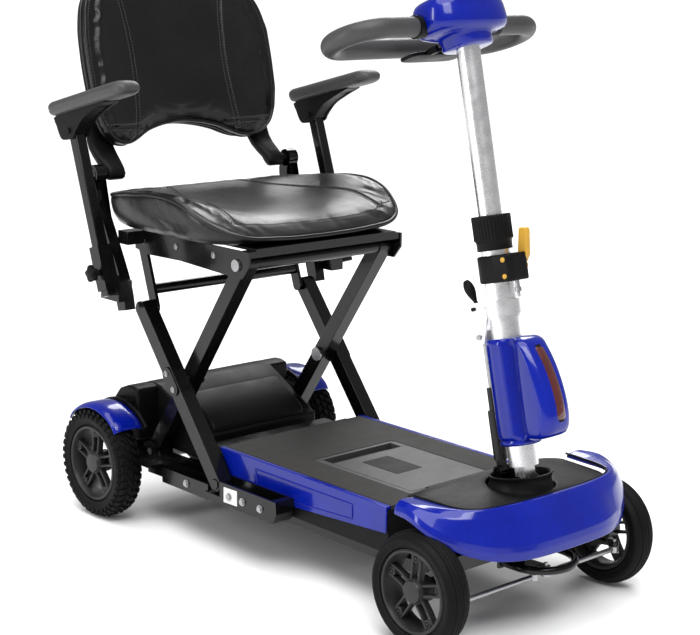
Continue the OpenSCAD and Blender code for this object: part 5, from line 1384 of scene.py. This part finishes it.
# %% Floor, lights and camera
u = np.linspace(-1, 1, 3)
FLOOR_REACH = 90
X, Y = np.meshgrid(u * FLOOR_REACH, u * FLOOR_REACH, indexing="ij")
V, F = grid(np.stack([X, Y, 0 * X], -1))
mesh = bpy.data.meshes.new("studio_floor")
mesh.from_pydata(V.tolist(), [], F[:, ::-1].tolist())
floor = bpy.data.objects.new("studio_floor", mesh)
bpy.context.scene.collection.objects.link(floor)
floor.data.materials.append(finish("pale floor", (0.90, 0.90, 0.90), (0.92, 0.92, 0.92), 0.75, 0.1, size=2.0))
world = bpy.data.worlds.new("studio")
bpy.context.scene.world = world
world.use_nodes = True
world.node_tree.nodes["Background"].inputs["Color"].default_value = (1.0, 1.0, 1.0, 1)
SKY_FILL, SKY_SEEN = 0.36, 1.0
seen = add(world.node_tree, "ShaderNodeLightPath").outputs["Is Camera Ray"]
fill = math_node(world.node_tree, "ADD",
                 math_node(world.node_tree, "MULTIPLY", seen, SKY_SEEN - SKY_FILL), SKY_FILL)
world.node_tree.links.new(fill, world.node_tree.nodes["Background"].inputs["Strength"])

from mathutils import Matrix, Vector


def lamp(name, place, aim, width, height, power):
    """A rectangular area light at place, facing aim."""
    light = bpy.data.lights.new(name, "AREA")
    light.shape, light.size, light.size_y, light.energy = "RECTANGLE", width, height, power
    obj = bpy.data.objects.new(name, light)
    bpy.context.scene.collection.objects.link(obj)
    obj.location = place
    obj.rotation_euler = (Vector(aim) - Vector(place)).to_track_quat("-Z", "Y").to_euler()
    return obj


lamp("key", (-1.2, -2.2, 3.0), (0, 0, 0.3), 1.6, 1.2, 42)
lamp("side", (-3.2, 0.6, 1.4), (0, 0, 0.4), 0.5, 2.2, 40)
lamp("back", (2.4, 2.2, 2.6), (0, 0, 0.5), 1.6, 1.2, 50)
bpy.context.scene.view_settings.view_transform = "Standard"
sky = bpy.data.lights.new("overhead", "SUN")
sky.energy, sky.angle = 3.2, math.radians(60)
overhead = bpy.data.objects.new("overhead", sky)
bpy.context.scene.collection.objects.link(overhead)
overhead.rotation_euler = (math.radians(8), math.radians(-10), 0)

az, el, roll = (math.radians(v) for v in (-42.3, 12.14, 0.885))
reach, focal = 2.7034, 36.0 * 1669.93 / 700
back_dir = Vector((math.sin(az) * math.cos(el), -math.cos(az) * math.cos(el), math.sin(el)))
right = (-back_dir).cross(Vector((0, 0, 1))).normalized()
upward = right.cross(-back_dir)
R, U = right * math.cos(roll) + upward * math.sin(roll), upward * math.cos(roll) - right * math.sin(roll)
aim = Vector((0.01016, DATUM_Y - 0.36345, 0.38241))
lens = bpy.data.cameras.new("camera")
lens.sensor_fit, lens.sensor_width, lens.lens = "HORIZONTAL", 36.0, focal
camera = bpy.data.objects.new("camera", lens)
bpy.context.scene.collection.objects.link(camera)
camera.matrix_world = Matrix.Translation(aim + back_dir * reach) @ Matrix((R, U, back_dir)).transposed().to_4x4()
bpy.context.scene.camera = camera
print("camera", [round(v, 3) for v in camera.location])
